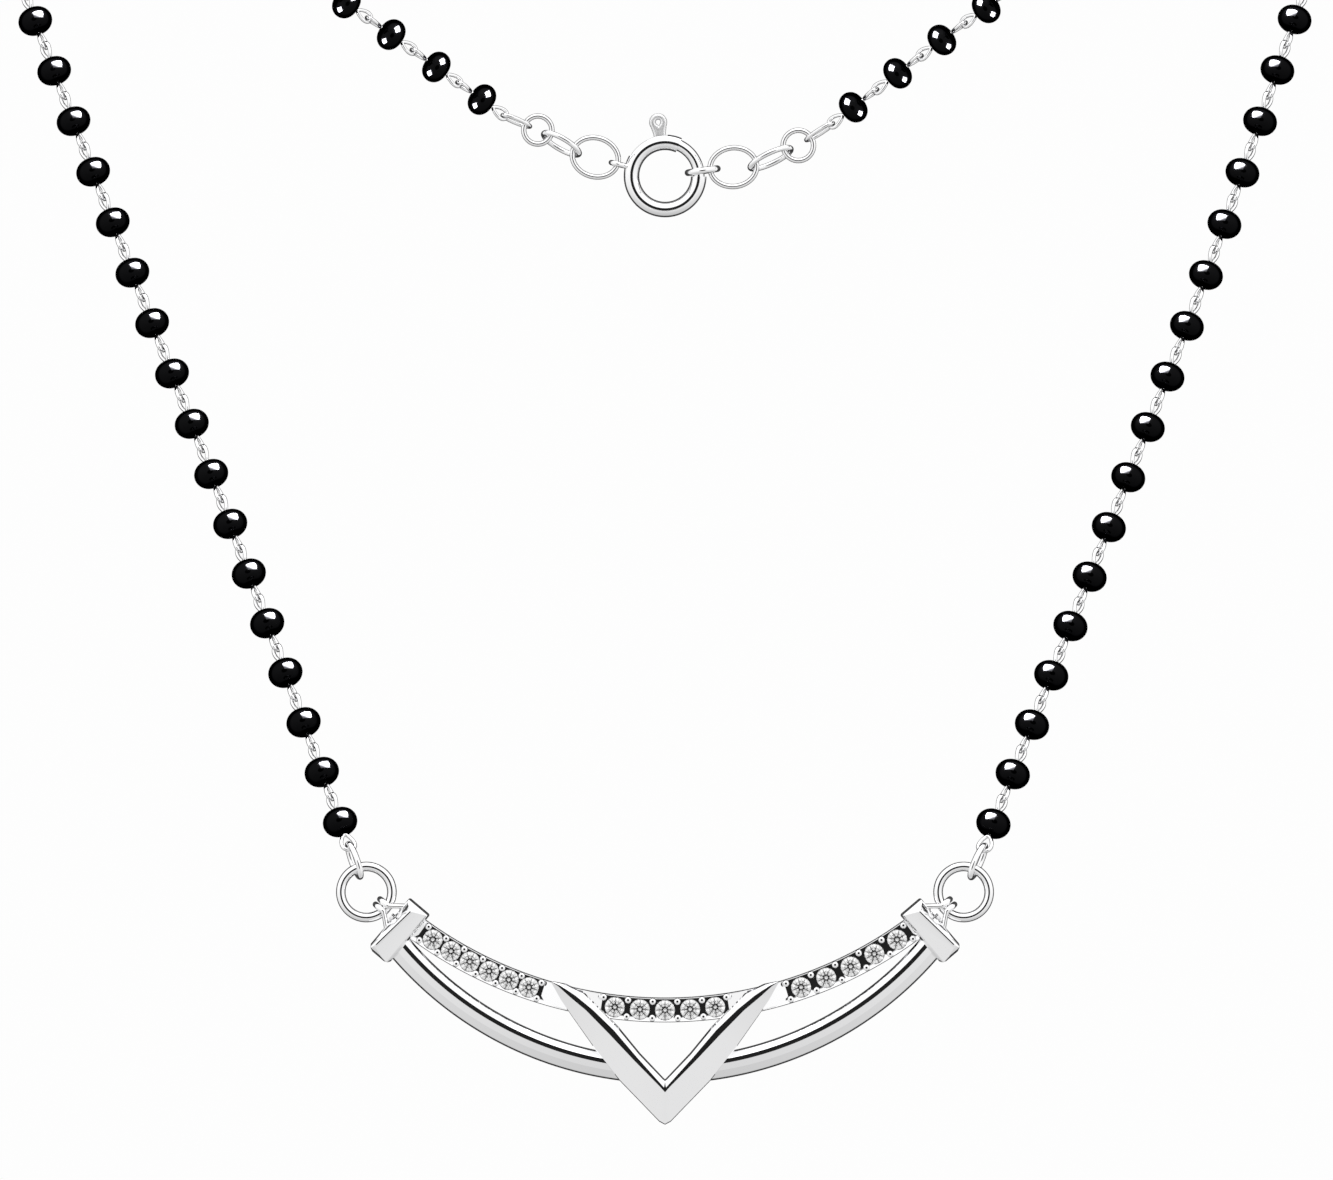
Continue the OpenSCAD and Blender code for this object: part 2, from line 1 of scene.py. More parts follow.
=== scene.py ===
# %% [markdown]
# # A mangalsutra of black beads and polished white metal
#
# A mangalsutra is a necklace of black beads that carries a pendant. This one is fine work: each
# bead sits on its own short wire with an eye at both ends, the pendant is a curved bar of small
# stones with a chevron over it, and a spring ring closes the string behind the neck.
#
# The construction comes ready made as a CAD model, which is loaded first and is never moved.
# Everything that shows is then modelled again here, finer and with softened edges, exactly where
# the CAD pieces are. Sizes are in millimetres, as a jeweller gives them, and MM turns them into
# Blender's metres.

import json
import math

import bmesh
import bpy
import numpy as np
from mathutils import Matrix, Vector


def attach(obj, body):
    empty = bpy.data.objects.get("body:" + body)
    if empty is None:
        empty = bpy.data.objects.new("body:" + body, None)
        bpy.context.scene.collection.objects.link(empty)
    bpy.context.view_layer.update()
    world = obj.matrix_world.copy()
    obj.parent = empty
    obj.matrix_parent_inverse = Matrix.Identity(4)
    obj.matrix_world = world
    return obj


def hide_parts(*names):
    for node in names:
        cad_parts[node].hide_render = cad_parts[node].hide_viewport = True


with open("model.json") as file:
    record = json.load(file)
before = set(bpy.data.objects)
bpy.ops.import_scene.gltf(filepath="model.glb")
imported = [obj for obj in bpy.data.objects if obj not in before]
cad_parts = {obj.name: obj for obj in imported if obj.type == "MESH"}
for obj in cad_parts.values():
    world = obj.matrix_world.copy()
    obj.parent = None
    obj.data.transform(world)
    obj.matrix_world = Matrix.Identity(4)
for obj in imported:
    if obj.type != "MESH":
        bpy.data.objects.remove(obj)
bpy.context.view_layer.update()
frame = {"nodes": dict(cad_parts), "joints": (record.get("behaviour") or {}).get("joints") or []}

MM = 0.001

# %% [markdown]
# ## Camera
#
# The necklace was photographed straight from the front with a long lens, so near and far beads
# have almost the same size. The camera is level, 1.5 m in front of the pendant, and its lens is
# worked out from the width of the picture at the pendant.

# %% Camera
PHOTO_SIZE = (1333, 1180)
MM_PER_PIXEL = 0.0665
MIDDLE_COLUMN = 665
CAMERA_DISTANCE = 1500
CAMERA_HEIGHT = -70
PENDANT_Y = -58


def add_object(name, data):
    """A new object, linked into the scene."""
    thing = bpy.data.objects.new(name, data)
    bpy.context.scene.collection.objects.link(thing)
    return thing


def make_camera():
    data = bpy.data.cameras.new("camera")
    data.sensor_width = 36
    data.lens = data.sensor_width * CAMERA_DISTANCE / (PHOTO_SIZE[0] * MM_PER_PIXEL)
    data.clip_start, data.clip_end = 0.05, 20
    camera = add_object("camera", data)
    sideways = (PHOTO_SIZE[0] / 2 - MIDDLE_COLUMN) * MM_PER_PIXEL
    camera.location = Vector((sideways, PENDANT_Y - CAMERA_DISTANCE, CAMERA_HEIGHT)) * MM
    camera.rotation_euler = (math.radians(90), 0, 0)
    bpy.context.scene.camera = camera
    return camera


camera = make_camera()
print("lens in mm:", round(camera.data.lens))

# %% [markdown]
# ## Light
#
# Polished metal shows nothing but its surroundings, so the light is built for the reflections.
# A jeweller's light tent is white above and in front, a little greyer below, and it has a dark
# hole where the lens looks in. That hole draws the black line along every ridge that faces the
# lens. Behind the jewel the tent is dark, which draws the thin dark outline of each wire. The
# lens itself sees only plain white paper.
#
# The tent could be a room of real cards, but a world shader that depends on the direction of a
# ray gives the same reflections with no noise.

# %% The light tent
HOLE_ANGLE = 19
HOLE_SOFT = 0.03
HOLE_DARK = 0.015
BACK_FROM, BACK_TO, BACK_DARK = 0.12, 0.42, 0.06
TENT_BOTTOM = 0.58
TENT_TOP, TENT_TOP_FROM = 1.15, 0.35
PAPER_WHITE = 0.985
WHITE = (1, 1, 1, 1)


def add_node(tree, kind, inputs=None, **settings):
    """A new node with its settings and its unlinked inputs."""
    node = tree.nodes.new(kind)
    for name, value in settings.items():
        setattr(node, name, value)
    for name, value in (inputs or {}).items():
        node.inputs[name].default_value = value
    return node


def map_range(tree, source, from_low, from_high, to_low, to_high, kind="SMOOTHSTEP"):
    node = add_node(tree, "ShaderNodeMapRange", {
        "From Min": from_low, "From Max": from_high, "To Min": to_low, "To Max": to_high},
        interpolation_type=kind)
    tree.links.new(source, node.inputs["Value"])
    return node.outputs["Result"]


def multiply(tree, a, b):
    node = add_node(tree, "ShaderNodeMath", operation="MULTIPLY")
    tree.links.new(a, node.inputs[0])
    tree.links.new(b, node.inputs[1])
    return node.outputs["Value"]


def make_tent():
    world = bpy.data.worlds.new("light_tent")
    bpy.context.scene.world = world
    world.use_nodes = True
    tree = world.node_tree
    tree.nodes.clear()
    direction = add_node(tree, "ShaderNodeTexCoord").outputs["Generated"]
    split = add_node(tree, "ShaderNodeSeparateXYZ")
    tree.links.new(direction, split.inputs["Vector"])
    behind, up = split.outputs["Y"], split.outputs["Z"]
    edge = math.radians(HOLE_ANGLE)
    hole = map_range(tree, behind, -math.cos(edge - HOLE_SOFT), -math.cos(edge + HOLE_SOFT),
                     HOLE_DARK, 1)
    back = map_range(tree, behind, BACK_FROM, BACK_TO, 1, BACK_DARK)
    height = map_range(tree, up, -1, TENT_TOP_FROM, TENT_BOTTOM, TENT_TOP, "LINEAR")
    strength = multiply(tree, multiply(tree, hole, back), height)
    tent = add_node(tree, "ShaderNodeBackground", {"Color": WHITE})
    tree.links.new(strength, tent.inputs["Strength"])
    paper = add_node(tree, "ShaderNodeBackground", {"Color": WHITE, "Strength": PAPER_WHITE})
    seen = add_node(tree, "ShaderNodeLightPath").outputs["Is Camera Ray"]
    mix = add_node(tree, "ShaderNodeMixShader")
    tree.links.new(seen, mix.inputs["Fac"])
    tree.links.new(tent.outputs["Background"], mix.inputs[1])
    tree.links.new(paper.outputs["Background"], mix.inputs[2])
    out = add_node(tree, "ShaderNodeOutputWorld")
    tree.links.new(mix.outputs["Shader"], out.inputs["Surface"])


make_tent()
bpy.context.scene.view_settings.view_transform = "Standard"
print("world:", bpy.context.scene.world.name)

# %% [markdown]
# ## Floor
#
# The floor is a wide pale disc well below the pendant. It is part of the stage, and it shows only
# in views from above.

# %% Floor
FLOOR_BELOW = 250
FLOOR_RADIUS = 3000


def make_floor():
    bm = bmesh.new()
    bmesh.ops.create_circle(bm, cap_ends=True, segments=96, radius=FLOOR_RADIUS * MM)
    bmesh.ops.translate(bm, verts=bm.verts, vec=(0, 0, -FLOOR_BELOW * MM))
    mesh = bpy.data.meshes.new("floor")
    bm.to_mesh(mesh)
    bm.free()
    floor = add_object("floor", mesh)
    paper = bpy.data.materials.new("floor_paper")
    paper.use_nodes = True
    shader = paper.node_tree.nodes["Principled BSDF"]
    shader.inputs["Base Color"].default_value = (0.85, 0.85, 0.855, 1)
    shader.inputs["Roughness"].default_value = 0.9
    mesh.materials.append(paper)
    floor.visible_glossy = floor.visible_transmission = False


make_floor()
print("floor in mm below the neck:", FLOOR_BELOW)

# %% [markdown]
# ## Lamp from above
#
# A wide, weak soft box hangs over the necklace: a square area light. Its helper also makes the
# windows that the beads mirror.

# %% Lamp from above


def soft_box(name, at, towards, size, strength):
    """A square area light. Strength is what the lamp adds, in watts for each square metre."""
    data = bpy.data.lights.new(name, "AREA")
    data.shape = "SQUARE"
    data.size = size * MM
    data.energy = strength * (size * MM) ** 2
    lamp = add_object(name, data)
    lamp.location = Vector(at) * MM
    lamp.rotation_mode = "QUATERNION"
    lamp.rotation_quaternion = (Vector(towards) - Vector(at)).to_track_quat("-Z", "Y")
    lamp.visible_camera = False
    return lamp


soft_box("top_light", (0, -300, 1500), (0, 0, -60), 1600, 2)

# %% [markdown]
# ## Polish
#
# Even mirror polish isn't perfect: the buffing wheel leaves a faint swell and patches that are a
# little less bright. One node group makes both, from noise in the object's own coordinates, and
# every polished surface here uses it with its own values.

# %% The shared polish group


def make_polish_group():
    group = bpy.data.node_groups.new("hand_polish", "ShaderNodeTree")
    sockets = group.interface
    for name, value in (("Scale", 600.0), ("Brightest", 0.03), ("Dullest", 0.1), ("Swell", 0.1)):
        socket = sockets.new_socket(name, in_out="INPUT", socket_type="NodeSocketFloat")
        socket.default_value = value
    sockets.new_socket("Roughness", in_out="OUTPUT", socket_type="NodeSocketFloat")
    sockets.new_socket("Normal", in_out="OUTPUT", socket_type="NodeSocketVector")
    given = add_node(group, "NodeGroupInput")
    place = add_node(group, "ShaderNodeTexCoord").outputs["Object"]
    patches = add_node(group, "ShaderNodeTexNoise", {"Detail": 4.0, "Roughness": 0.6})
    group.links.new(place, patches.inputs["Vector"])
    group.links.new(given.outputs["Scale"], patches.inputs["Scale"])
    spread = add_node(group, "ShaderNodeMapRange", {"From Min": 0.35, "From Max": 0.65})
    group.links.new(patches.outputs["Fac"], spread.inputs["Value"])
    group.links.new(given.outputs["Brightest"], spread.inputs["To Min"])
    group.links.new(given.outputs["Dullest"], spread.inputs["To Max"])
    bump = add_node(group, "ShaderNodeBump", {"Distance": 0.00002})
    group.links.new(given.outputs["Swell"], bump.inputs["Strength"])
    group.links.new(patches.outputs["Fac"], bump.inputs["Height"])
    out = add_node(group, "NodeGroupOutput")
    group.links.new(spread.outputs["Result"], out.inputs["Roughness"])
    group.links.new(bump.outputs["Normal"], out.inputs["Normal"])
    return group


polish = make_polish_group()
print("group inputs:", [s.name for s in polish.interface.items_tree if s.in_out == "INPUT"])

# %% [markdown]
# ## Metal, bead glass and stone
#
# The metal is silver or white gold with a rhodium finish: a neutral mirror. The pendant and the
# clasp are buffed, the thin wires keep a trace of the draw plate, and the clasp's stamped lever is
# satin.
#
# The beads are opaque black glass, so dark and smooth that only the soft boxes show in them. A
# glass shader would give them a white rim, so they are set as a nearly black metal with a dark
# tint. The stones are clear, with the high refraction of diamond, so that light turns back inside
# them and the facets sparkle.

# %% Materials
SILVER = (0.95, 0.95, 0.955, 1)
BEAD_BLACK = (0.006, 0.006, 0.0065, 1)


def new_material(name, **sockets):
    material = bpy.data.materials.new(name)
    material.use_nodes = True
    shader = material.node_tree.nodes["Principled BSDF"]
    for label, value in sockets.items():
        shader.inputs[label.replace("_", " ")].default_value = value
    return material, shader


def add_polish(material, shader, **values):
    tree = material.node_tree
    node = add_node(tree, "ShaderNodeGroup", node_tree=polish)
    for name, value in values.items():
        node.inputs[name].default_value = value
    tree.links.new(node.outputs["Roughness"], shader.inputs["Roughness"])
    tree.links.new(node.outputs["Normal"], shader.inputs["Normal"])


def polished(name, colour, scale, brightest, dullest, swell, **sockets):
    material, shader = new_material(name, Base_Color=colour, **sockets)
    add_polish(material, shader, Scale=scale, Brightest=brightest, Dullest=dullest, Swell=swell)
    return material


pendant_metal = polished("pendant_metal", SILVER, 700, 0.02, 0.07, 0.03, Metallic=1.0)
clasp_metal = polished("clasp_metal", SILVER, 900, 0.03, 0.09, 0.04, Metallic=1.0)
wire_metal = polished("wire_metal", SILVER, 2500, 0.05, 0.13, 0.06, Metallic=1.0)
satin_metal = polished("satin_metal", SILVER, 2500, 0.38, 0.46, 0.05, Metallic=1.0)
bead_glass = polished("bead_glass", BEAD_BLACK, 900, 0.08, 0.12, 0.02, Metallic=1.0,
                       Specular_Tint=(0.2, 0.2, 0.2, 1))
stone_glass = polished("stone_glass", WHITE, 3000, 0.0, 0.01, 0.0,
                       Transmission_Weight=1.0, IOR=2.42)
print("materials:", [m.name for m in bpy.data.materials])

# %% [markdown]
# ## From a bmesh to a finished piece
#
# Every piece ends the same way. Its bmesh is moved to its place and into metres, its faces are
# turned outwards, edges sharper than a limit stay crisp while the others are shaded smooth, and
# the new object takes its material, rides on its CAD body and stands for its CAD nodes.

# %% Finishing helper


def as_mesh(bm, name):
    """A mesh from a bmesh, which it frees."""
    mesh = bpy.data.meshes.new(name)
    bm.to_mesh(mesh)
    bm.free()
    return mesh


def shade(mesh, crisp):
    """Smooth faces, with every edge sharper than crisp degrees left crisp."""
    mesh.shade_smooth()
    mesh.set_sharp_from_angle(angle=math.radians(crisp))


def finish_piece(name, bm, material, body, nodes, place=None, crisp=30):
    """Turns a bmesh in millimetres into a piece at its place. Crisp is an angle in degrees."""
    bmesh.ops.transform(bm, matrix=Matrix.Scale(MM, 4) @ (place or Matrix()), verts=bm.verts)
    bmesh.ops.recalc_face_normals(bm, faces=bm.faces)
    mesh = as_mesh(bm, name)
    shade(mesh, crisp)
    mesh.materials.append(material)
    piece = add_object(name, mesh)
    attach(piece, body)
    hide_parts(*nodes)
    triangles = sum(len(p.vertices) - 2 for p in mesh.polygons)
    print(f"{name}: {triangles} triangles")
    return piece


def verts_of(geometry):
    return [g for g in geometry if isinstance(g, bmesh.types.BMVert)]


def edges_of(geometry):
    return [g for g in geometry if isinstance(g, bmesh.types.BMEdge)]


# %% [markdown]
# ## Measuring links
#
# A CAD link is a closed loop of round wire. Its three main directions come from its own corner
# points: the longest way, the way across, and the way through it. With its extent along each,
# the same link can be made again with as many sides as the reflections need.

# %% Measuring helpers


def corner_points(node):
    mesh = frame["nodes"][node].data
    points = np.empty(len(mesh.vertices) * 3)
    mesh.vertices.foreach_get("co", points)
    return np.unique((points / MM).round(4).reshape(-1, 3), axis=0)


def measure(points):
    """Middle, directions from the longest to the shortest, and extents of a cloud of points."""
    spread = points - points.mean(axis=0)
    directions = np.linalg.eigh(spread.T @ spread)[1].T[::-1]
    along = points @ directions.T
    low, high = along.min(axis=0), along.max(axis=0)
    return (low + high) / 2 @ directions, directions, high - low


def place_of(middle, z, x):
    """A matrix that puts local Z along z and local X as near x as that allows."""
    z = Vector(z).normalized()
    x = Vector(x)
    x = (x - x.dot(z) * z).normalized()
    turn = Matrix((x, z.cross(x), z)).transposed().to_4x4()
    return Matrix.Translation(Vector(middle)) @ turn


middle, directions, extents = measure(corner_points("jump_ring_left"))
print("left jump ring: middle", middle.round(2), "extents", extents.round(2))

# %% [markdown]
# ## Wire loops
#
# A link is a round wire that follows a closed path. The path is an ellipse, which may be drawn out
# to a pear: wide at the end where the neighbour hooks in and narrow at the other. The wire's
# cross-section starts as a circle, its edges are extruded from place to place, and the last
# one is welded to the first.

# %% Loop of wire


def oval_places(length, width, wire, pear=0.0, steps=48):
    """Matrices along a closed path in the XZ plane, longest along Z and widest towards +Z."""
    a, b = (length - wire) / 2, (width - wire) / 2
    turns = [2 * math.pi * k / steps for k in range(steps)]
    widest = max(math.cos(t) * (1 + pear * math.sin(t)) for t in turns)
    points = [Vector((b * math.cos(t) * (1 + pear * math.sin(t)) / widest, 0, a * math.sin(t)))
              for t in turns]
    ways = [points[(k + 1) % steps] - points[k - 1] for k in range(steps)]
    return [place_of(p, w, (0, 1, 0)) for p, w in zip(points, ways)]


def wire_loop(bm, places, wire, sides=16):
    """A closed wire whose cross-section lies in the XY plane of each place. Returns its verts."""
    circle = bmesh.ops.create_circle(bm, segments=sides, radius=wire / 2)["verts"]
    bmesh.ops.transform(bm, matrix=places[0], verts=circle)
    made, edges = list(circle), list({e for v in circle for e in v.link_edges})
    for here, there in zip(places, places[1:] + places[:1]):
        grown = bmesh.ops.extrude_edge_only(bm, edges=edges)["geom"]
        verts = verts_of(grown)
        bmesh.ops.transform(bm, matrix=there @ here.inverted(), verts=verts)
        edges = [e for e in edges_of(grown) if e.verts[0] in verts and e.verts[1] in verts]
        made += verts
    bmesh.ops.remove_doubles(bm, verts=made, dist=0.0015)
    return [v for v in made if v.is_valid]


def island_of(vert):
    """Every vertex that is joined to this one."""
    found, waiting = {vert}, [vert]
    while waiting:
        for edge in waiting.pop().link_edges:
            for other in edge.verts:
                if other not in found:
                    found.add(other)
                    waiting.append(other)
    return list(found)


def link_piece(node, material, steps=64, sides=20):
    """The CAD link again, with the same place and sizes, in a finer mesh."""
    middle, directions, extents = measure(corner_points(node))
    bm = bmesh.new()
    wire_loop(bm, oval_places(*extents, steps=steps), extents[2], sides)
    return finish_piece(node + "_wire", bm, material, "string", [node],
                        place_of(middle, directions[0], directions[1]), crisp=80)


SIDES = ("left", "right")
for side in SIDES:
    link_piece("jump_ring_" + side, pendant_metal, steps=96, sides=28)
    link_piece("hanger_" + side, pendant_metal)
    link_piece("end_link_" + side, wire_metal)
    link_piece("small_ring_" + side, clasp_metal)
    link_piece("turned_link_" + side, clasp_metal)
    link_piece("oval_link_" + side, clasp_metal)
link_piece("catch_link", clasp_metal)

# %% [markdown]
# ## Where the beads are
#
# The CAD holds all the beads of one side in one node and their wires in another. Loose parts are
# found by walking from corner to corner. Each bead gives its middle, the nearest wire gives its
# direction, and the beads are put in order from the pendant to the clasp.

# %% Places of the beads


def loose_parts(node):
    """The corner points of each loose part of a CAD node, in millimetres."""
    bm = bmesh.new()
    bm.from_mesh(frame["nodes"][node].data)
    bmesh.ops.remove_doubles(bm, verts=bm.verts, dist=0.0000005)
    parts, seen = [], set()
    for vert in bm.verts:
        if vert not in seen:
            part = island_of(vert)
            seen.update(part)
            parts.append(np.array([v.co / MM for v in part]))
    bm.free()
    return parts


def nearest(point, others):
    return min(range(len(others)), key=lambda i: float(np.sum((others[i] - point) ** 2)))


def string_places(side):
    """Middle and direction of every bead of one side, from the pendant to the clasp."""
    middles = [measure(part)[0] for part in loose_parts("beads_" + side)]
    wires = [measure(part) for part in loose_parts("bead_wires_" + side)]
    here, row = measure(corner_points("hanger_" + side))[0], []
    while middles:
        here = middles.pop(nearest(here, middles))
        row.append(here)
    ways = [wires[nearest(m, [w[0] for w in wires])][1][0] for m in row]
    ahead = [b - a for a, b in zip(row, row[1:])] + [row[-1] - row[-2]]
    return [(m, w if w @ a > 0 else -w) for m, w, a in zip(row, ways, ahead)]


places = {side: string_places(side) for side in SIDES}
row = [middle for middle, _ in places["left"]]
step = float(np.mean([np.linalg.norm(b - a) for a, b in zip(row, row[1:])]))
print("beads on each side:", [len(places[s]) for s in SIDES], "step in mm:", round(step, 3))

# %% [markdown]
# ## Beads
#
# A drilled round bead is a body of revolution, so its half outline is spun round the drilling. The
# outline is a circle that is cut off at the drilling by a plane. One bead is made, and every other
# is a copy of it, turned so that its drilling lies along the string.

# %% Beads
BEAD_ACROSS = 2.34
BEAD_LONG = 1.64
DRILLING = 0.46
NAPE_Y = 15


def one_bead():
    bm = bmesh.new()
    edge = BEAD_LONG / 2
    outline = bmesh.ops.create_circle(bm, segments=40, radius=edge)["verts"]
    bmesh.ops.rotate(bm, verts=outline, matrix=Matrix.Rotation(math.pi / 2, 3, "X"))
    bmesh.ops.translate(bm, verts=outline, vec=(BEAD_ACROSS / 2 - edge, 0, 0))
    bmesh.ops.bisect_plane(bm, geom=bm.verts[:] + bm.edges[:], dist=0.0001, clear_inner=True,
                           plane_co=(DRILLING / 2, 0, 0), plane_no=(1, 0, 0))
    ends = [v for v in bm.verts if len(v.link_edges) == 1]
    bmesh.ops.contextual_create(bm, geom=ends)
    bmesh.ops.spin(bm, geom=bm.verts[:] + bm.edges[:], cent=(0, 0, 0), axis=(0, 0, 1),
                   angle=2 * math.pi, steps=36, use_merge=True)
    return as_mesh(bm, "one_bead")


def add_copy(bm, mesh, place):
    """Adds a copy of a mesh to a bmesh, moved by a matrix."""
    before = len(bm.verts)
    bm.from_mesh(mesh)
    bm.verts.ensure_lookup_table()
    bmesh.ops.transform(bm, matrix=place, verts=bm.verts[before:])


def bead_row(side, name, row):
    bm = bmesh.new()
    for middle, way in row:
        add_copy(bm, bead, place_of(middle, way, (1, 0, 0)))
    return finish_piece(name, bm, bead_glass, "string", ["beads_" + side],
                        crisp=50)


bead = one_bead()
bead_pieces = {}
for side in SIDES:
    front = [p for p in places[side] if p[0][1] < NAPE_Y]
    nape = [p for p in places[side] if p[0][1] >= NAPE_Y]
    bead_pieces["front", side] = bead_row(side, "front_beads_" + side, front)
    bead_pieces["nape", side] = bead_row(side, "nape_beads_" + side, nape)

# %% [markdown]
# ## Soft boxes for the beads
#
# Each black bead mirrors one square window of light, high up and towards the middle of the
# necklace, which is brightest in its upper corner. The beads at the nape mirror a second one, low
# and on the outer side. Such windows would flood the metal, so light linking lets each soft box
# reach its own beads alone.

# %% Soft boxes for the beads
WINDOW_AWAY = 400
WINDOW_STRENGTH = 1500
FADE_START, FADE_LENGTH = -0.2, 1.2
FADE_DARK, FADE_BRIGHT = 0.04, 1.5
# Name, the beads that see it, the point it faces, its direction from there and its size. X counts
# outwards
WINDOWS = (("front", "front", (35, -40, -55), (-0.36, -0.63, 0.69), 480),
           ("nape", "nape", (20, 52, -30), (-0.62, -0.48, 0.62), 330),
           ("low", "nape", (20, 52, -30), (0.84, -0.25, -0.49), 260))


def fade_window(data, inwards):
    """Lets a lamp fade from its upper corner, on the side inwards (-1 or 1), to the lower one."""
    data.use_nodes = True
    tree = data.node_tree
    split = add_node(tree, "ShaderNodeSeparateXYZ")
    tree.links.new(add_node(tree, "ShaderNodeNewGeometry").outputs["Parametric"],
                   split.inputs["Vector"])
    corner = add_node(tree, "ShaderNodeMath", {1: inwards}, operation="MULTIPLY_ADD")
    tree.links.new(split.outputs["X"], corner.inputs[0])
    tree.links.new(split.outputs["Y"], corner.inputs[2])
    darkest = FADE_START + inwards / 2
    strength = map_range(tree, corner.outputs["Value"], darkest, darkest + FADE_LENGTH,
                         FADE_DARK, FADE_BRIGHT)
    tree.links.new(strength, tree.nodes["Emission"].inputs["Strength"])


def bead_window(name, piece, target, towards, size):
    """A soft box that only this piece sees, in the direction towards, as seen from target."""
    lamp = soft_box(name, target + towards.normalized() * WINDOW_AWAY, target, size,
                    WINDOW_STRENGTH)
    group = bpy.data.collections.new(name + "_beads")
    group.objects.link(piece)
    lamp.light_linking.receiver_collection = group
    return lamp.data


for side, outwards in (("left", -1), ("right", 1)):
    flip = Vector((outwards, 1, 1))
    for name, seen_by, target, towards, size in WINDOWS:
        window = bead_window(f"{name}_window_{side}", bead_pieces[seen_by, side],
                             flip * Vector(target), flip * Vector(towards), size)
        if name == "front":
            fade_window(window, -outwards)

# %% [markdown]
# ## Wires between the beads
#
# Each bead's wire ends in two eyes that are turned out of line, so that it hooks into its
# neighbours at nearly a right angle. The core is a thin cylinder and the eyes are two wire loops.
# The first eye and the last one are wider, because the links at the string's ends go through them.

# %% Bead wires
WIRE = 0.26
LINK_GAP = 0.1
HANGER_WIRE = 0.4
END_WIRE = 0.28
END_SLACK = 0.06
EYE_TURN = 52
FIRST_TURN = 14
EYE_FOOT = BEAD_LONG / 2 + 0.2
EYE_PEAR = 0.4
CORE_R = 0.43 * WIRE


def eye_width(wire, slack=0.0):
    return 2 * WIRE + wire + 2 * LINK_GAP + slack


def add_eye(bm, end, width, hooked, turn):
    """One eye, at end -1 or 1 of the wire, for a neighbour of the hooked thickness."""
    tip = step / 2 + ((WIRE + hooked) / 2 + LINK_GAP) / 2 + WIRE / 2
    foot = EYE_FOOT - WIRE / 2
    verts = wire_loop(bm, oval_places(tip - foot, width, WIRE, EYE_PEAR, 28), WIRE, 10)
    place = Matrix.Rotation(math.radians(turn), 4, "Z")
    place @= Matrix.Translation((0, 0, end * (tip + foot) / 2))
    place @= Matrix.Rotation(0 if end > 0 else math.pi, 4, "X")
    bmesh.ops.transform(bm, matrix=place, verts=verts)


def one_wire(name, mirror, lower, upper):
    """A bead's wire. Lower and upper are each (width, hooked thickness, turn) of an eye."""
    bm = bmesh.new()
    add_eye(bm, -1, lower[0], lower[1], -mirror * lower[2])
    add_eye(bm, 1, upper[0], upper[1], mirror * upper[2])
    bmesh.ops.create_cone(bm, cap_ends=True, segments=10, radius1=CORE_R, radius2=CORE_R,
                          depth=2 * EYE_FOOT)
    return as_mesh(bm, name)


def wire_row(side, mirror):
    plain = (eye_width(WIRE), WIRE, EYE_TURN)
    wide = (eye_width(HANGER_WIRE, END_SLACK), HANGER_WIRE, FIRST_TURN)
    final = (eye_width(END_WIRE, END_SLACK), WIRE, EYE_TURN)
    usual = one_wire("usual_wire", mirror, plain, plain)
    first = one_wire("first_wire", mirror, wide, plain)
    last = one_wire("last_wire", mirror, plain, final)
    row = places[side]
    bm = bmesh.new()
    for i, (middle, way) in enumerate(row):
        mesh = first if i == 0 else last if i == len(row) - 1 else usual
        add_copy(bm, mesh, place_of(middle, way, (1, 0, 0)))
    finish_piece("eyed_wires_" + side, bm, wire_metal, "string", ["bead_wires_" + side],
                 crisp=60)


wire_row("left", -1)
wire_row("right", 1)

# %% [markdown]
# ## Pendant
#
# The pendant is drawn in its own plan: X across, Y up and Z out of its flat back towards the
# viewer. One matrix then stands it up in its place. The two curved bars are profiles spun through
# part of a turn. On the plain lower arcs a narrow flat on the ridge faces the lens, and mirrors the
# dark hole of the tent as a crisp black line between two bright slopes.

# %% Pendant sizes and lower arcs
SWING_H = 0.74
PENDANT_Z = -97.93
BAR_R = 27.8
BAR_W = 1.64
ARC_R = 23.94
ARC_W = 1.74
ARC_DROP = 4.89
ARC_FROM = 6
CAP_X = 17.67
PENDANT = Matrix.Translation((0, PENDANT_Y + SWING_H, PENDANT_Z)) @ Matrix.Rotation(
    math.pi / 2, 4, "X")
ARC_Y = ARC_R - ARC_DROP
ARC_IN = ARC_R - ARC_W


def pendant_piece(name, bm, crisp, *places):
    """A polished piece of the pendant's frame, moved from its own plan by the places in turn."""
    place = PENDANT
    for further in places:
        place = place @ further
    return finish_piece(name, bm, pendant_metal, "pendant", ["pendant_frame"],
                        place, crisp)


def mirrored(side):
    return Matrix.Scale(-1, 4, (1, 0, 0)) if side == "left" else Matrix()


def closed_outline(bm, points):
    """Joins points into a closed outline and returns its vertices and edges."""
    verts = [bm.verts.new(p) for p in points]
    edges = [bm.edges.new((a, b)) for a, b in zip(verts, verts[1:] + verts[:1])]
    return verts, edges


def spun_bar(bm, profile, middle, start, sweep, steps):
    """A bar bent round a point of the plan. The profile's points are (radius, height)."""
    verts, _ = closed_outline(bm, [(r, 0, h) for r, h in profile])
    turn = Matrix.Rotation(math.radians(start), 4, "Z")
    bmesh.ops.transform(bm, matrix=Matrix.Translation(middle) @ turn, verts=verts)
    bmesh.ops.spin(bm, geom=[bm.faces.new(verts)], cent=middle, axis=(0, 0, 1),
                   angle=math.radians(sweep), steps=steps)


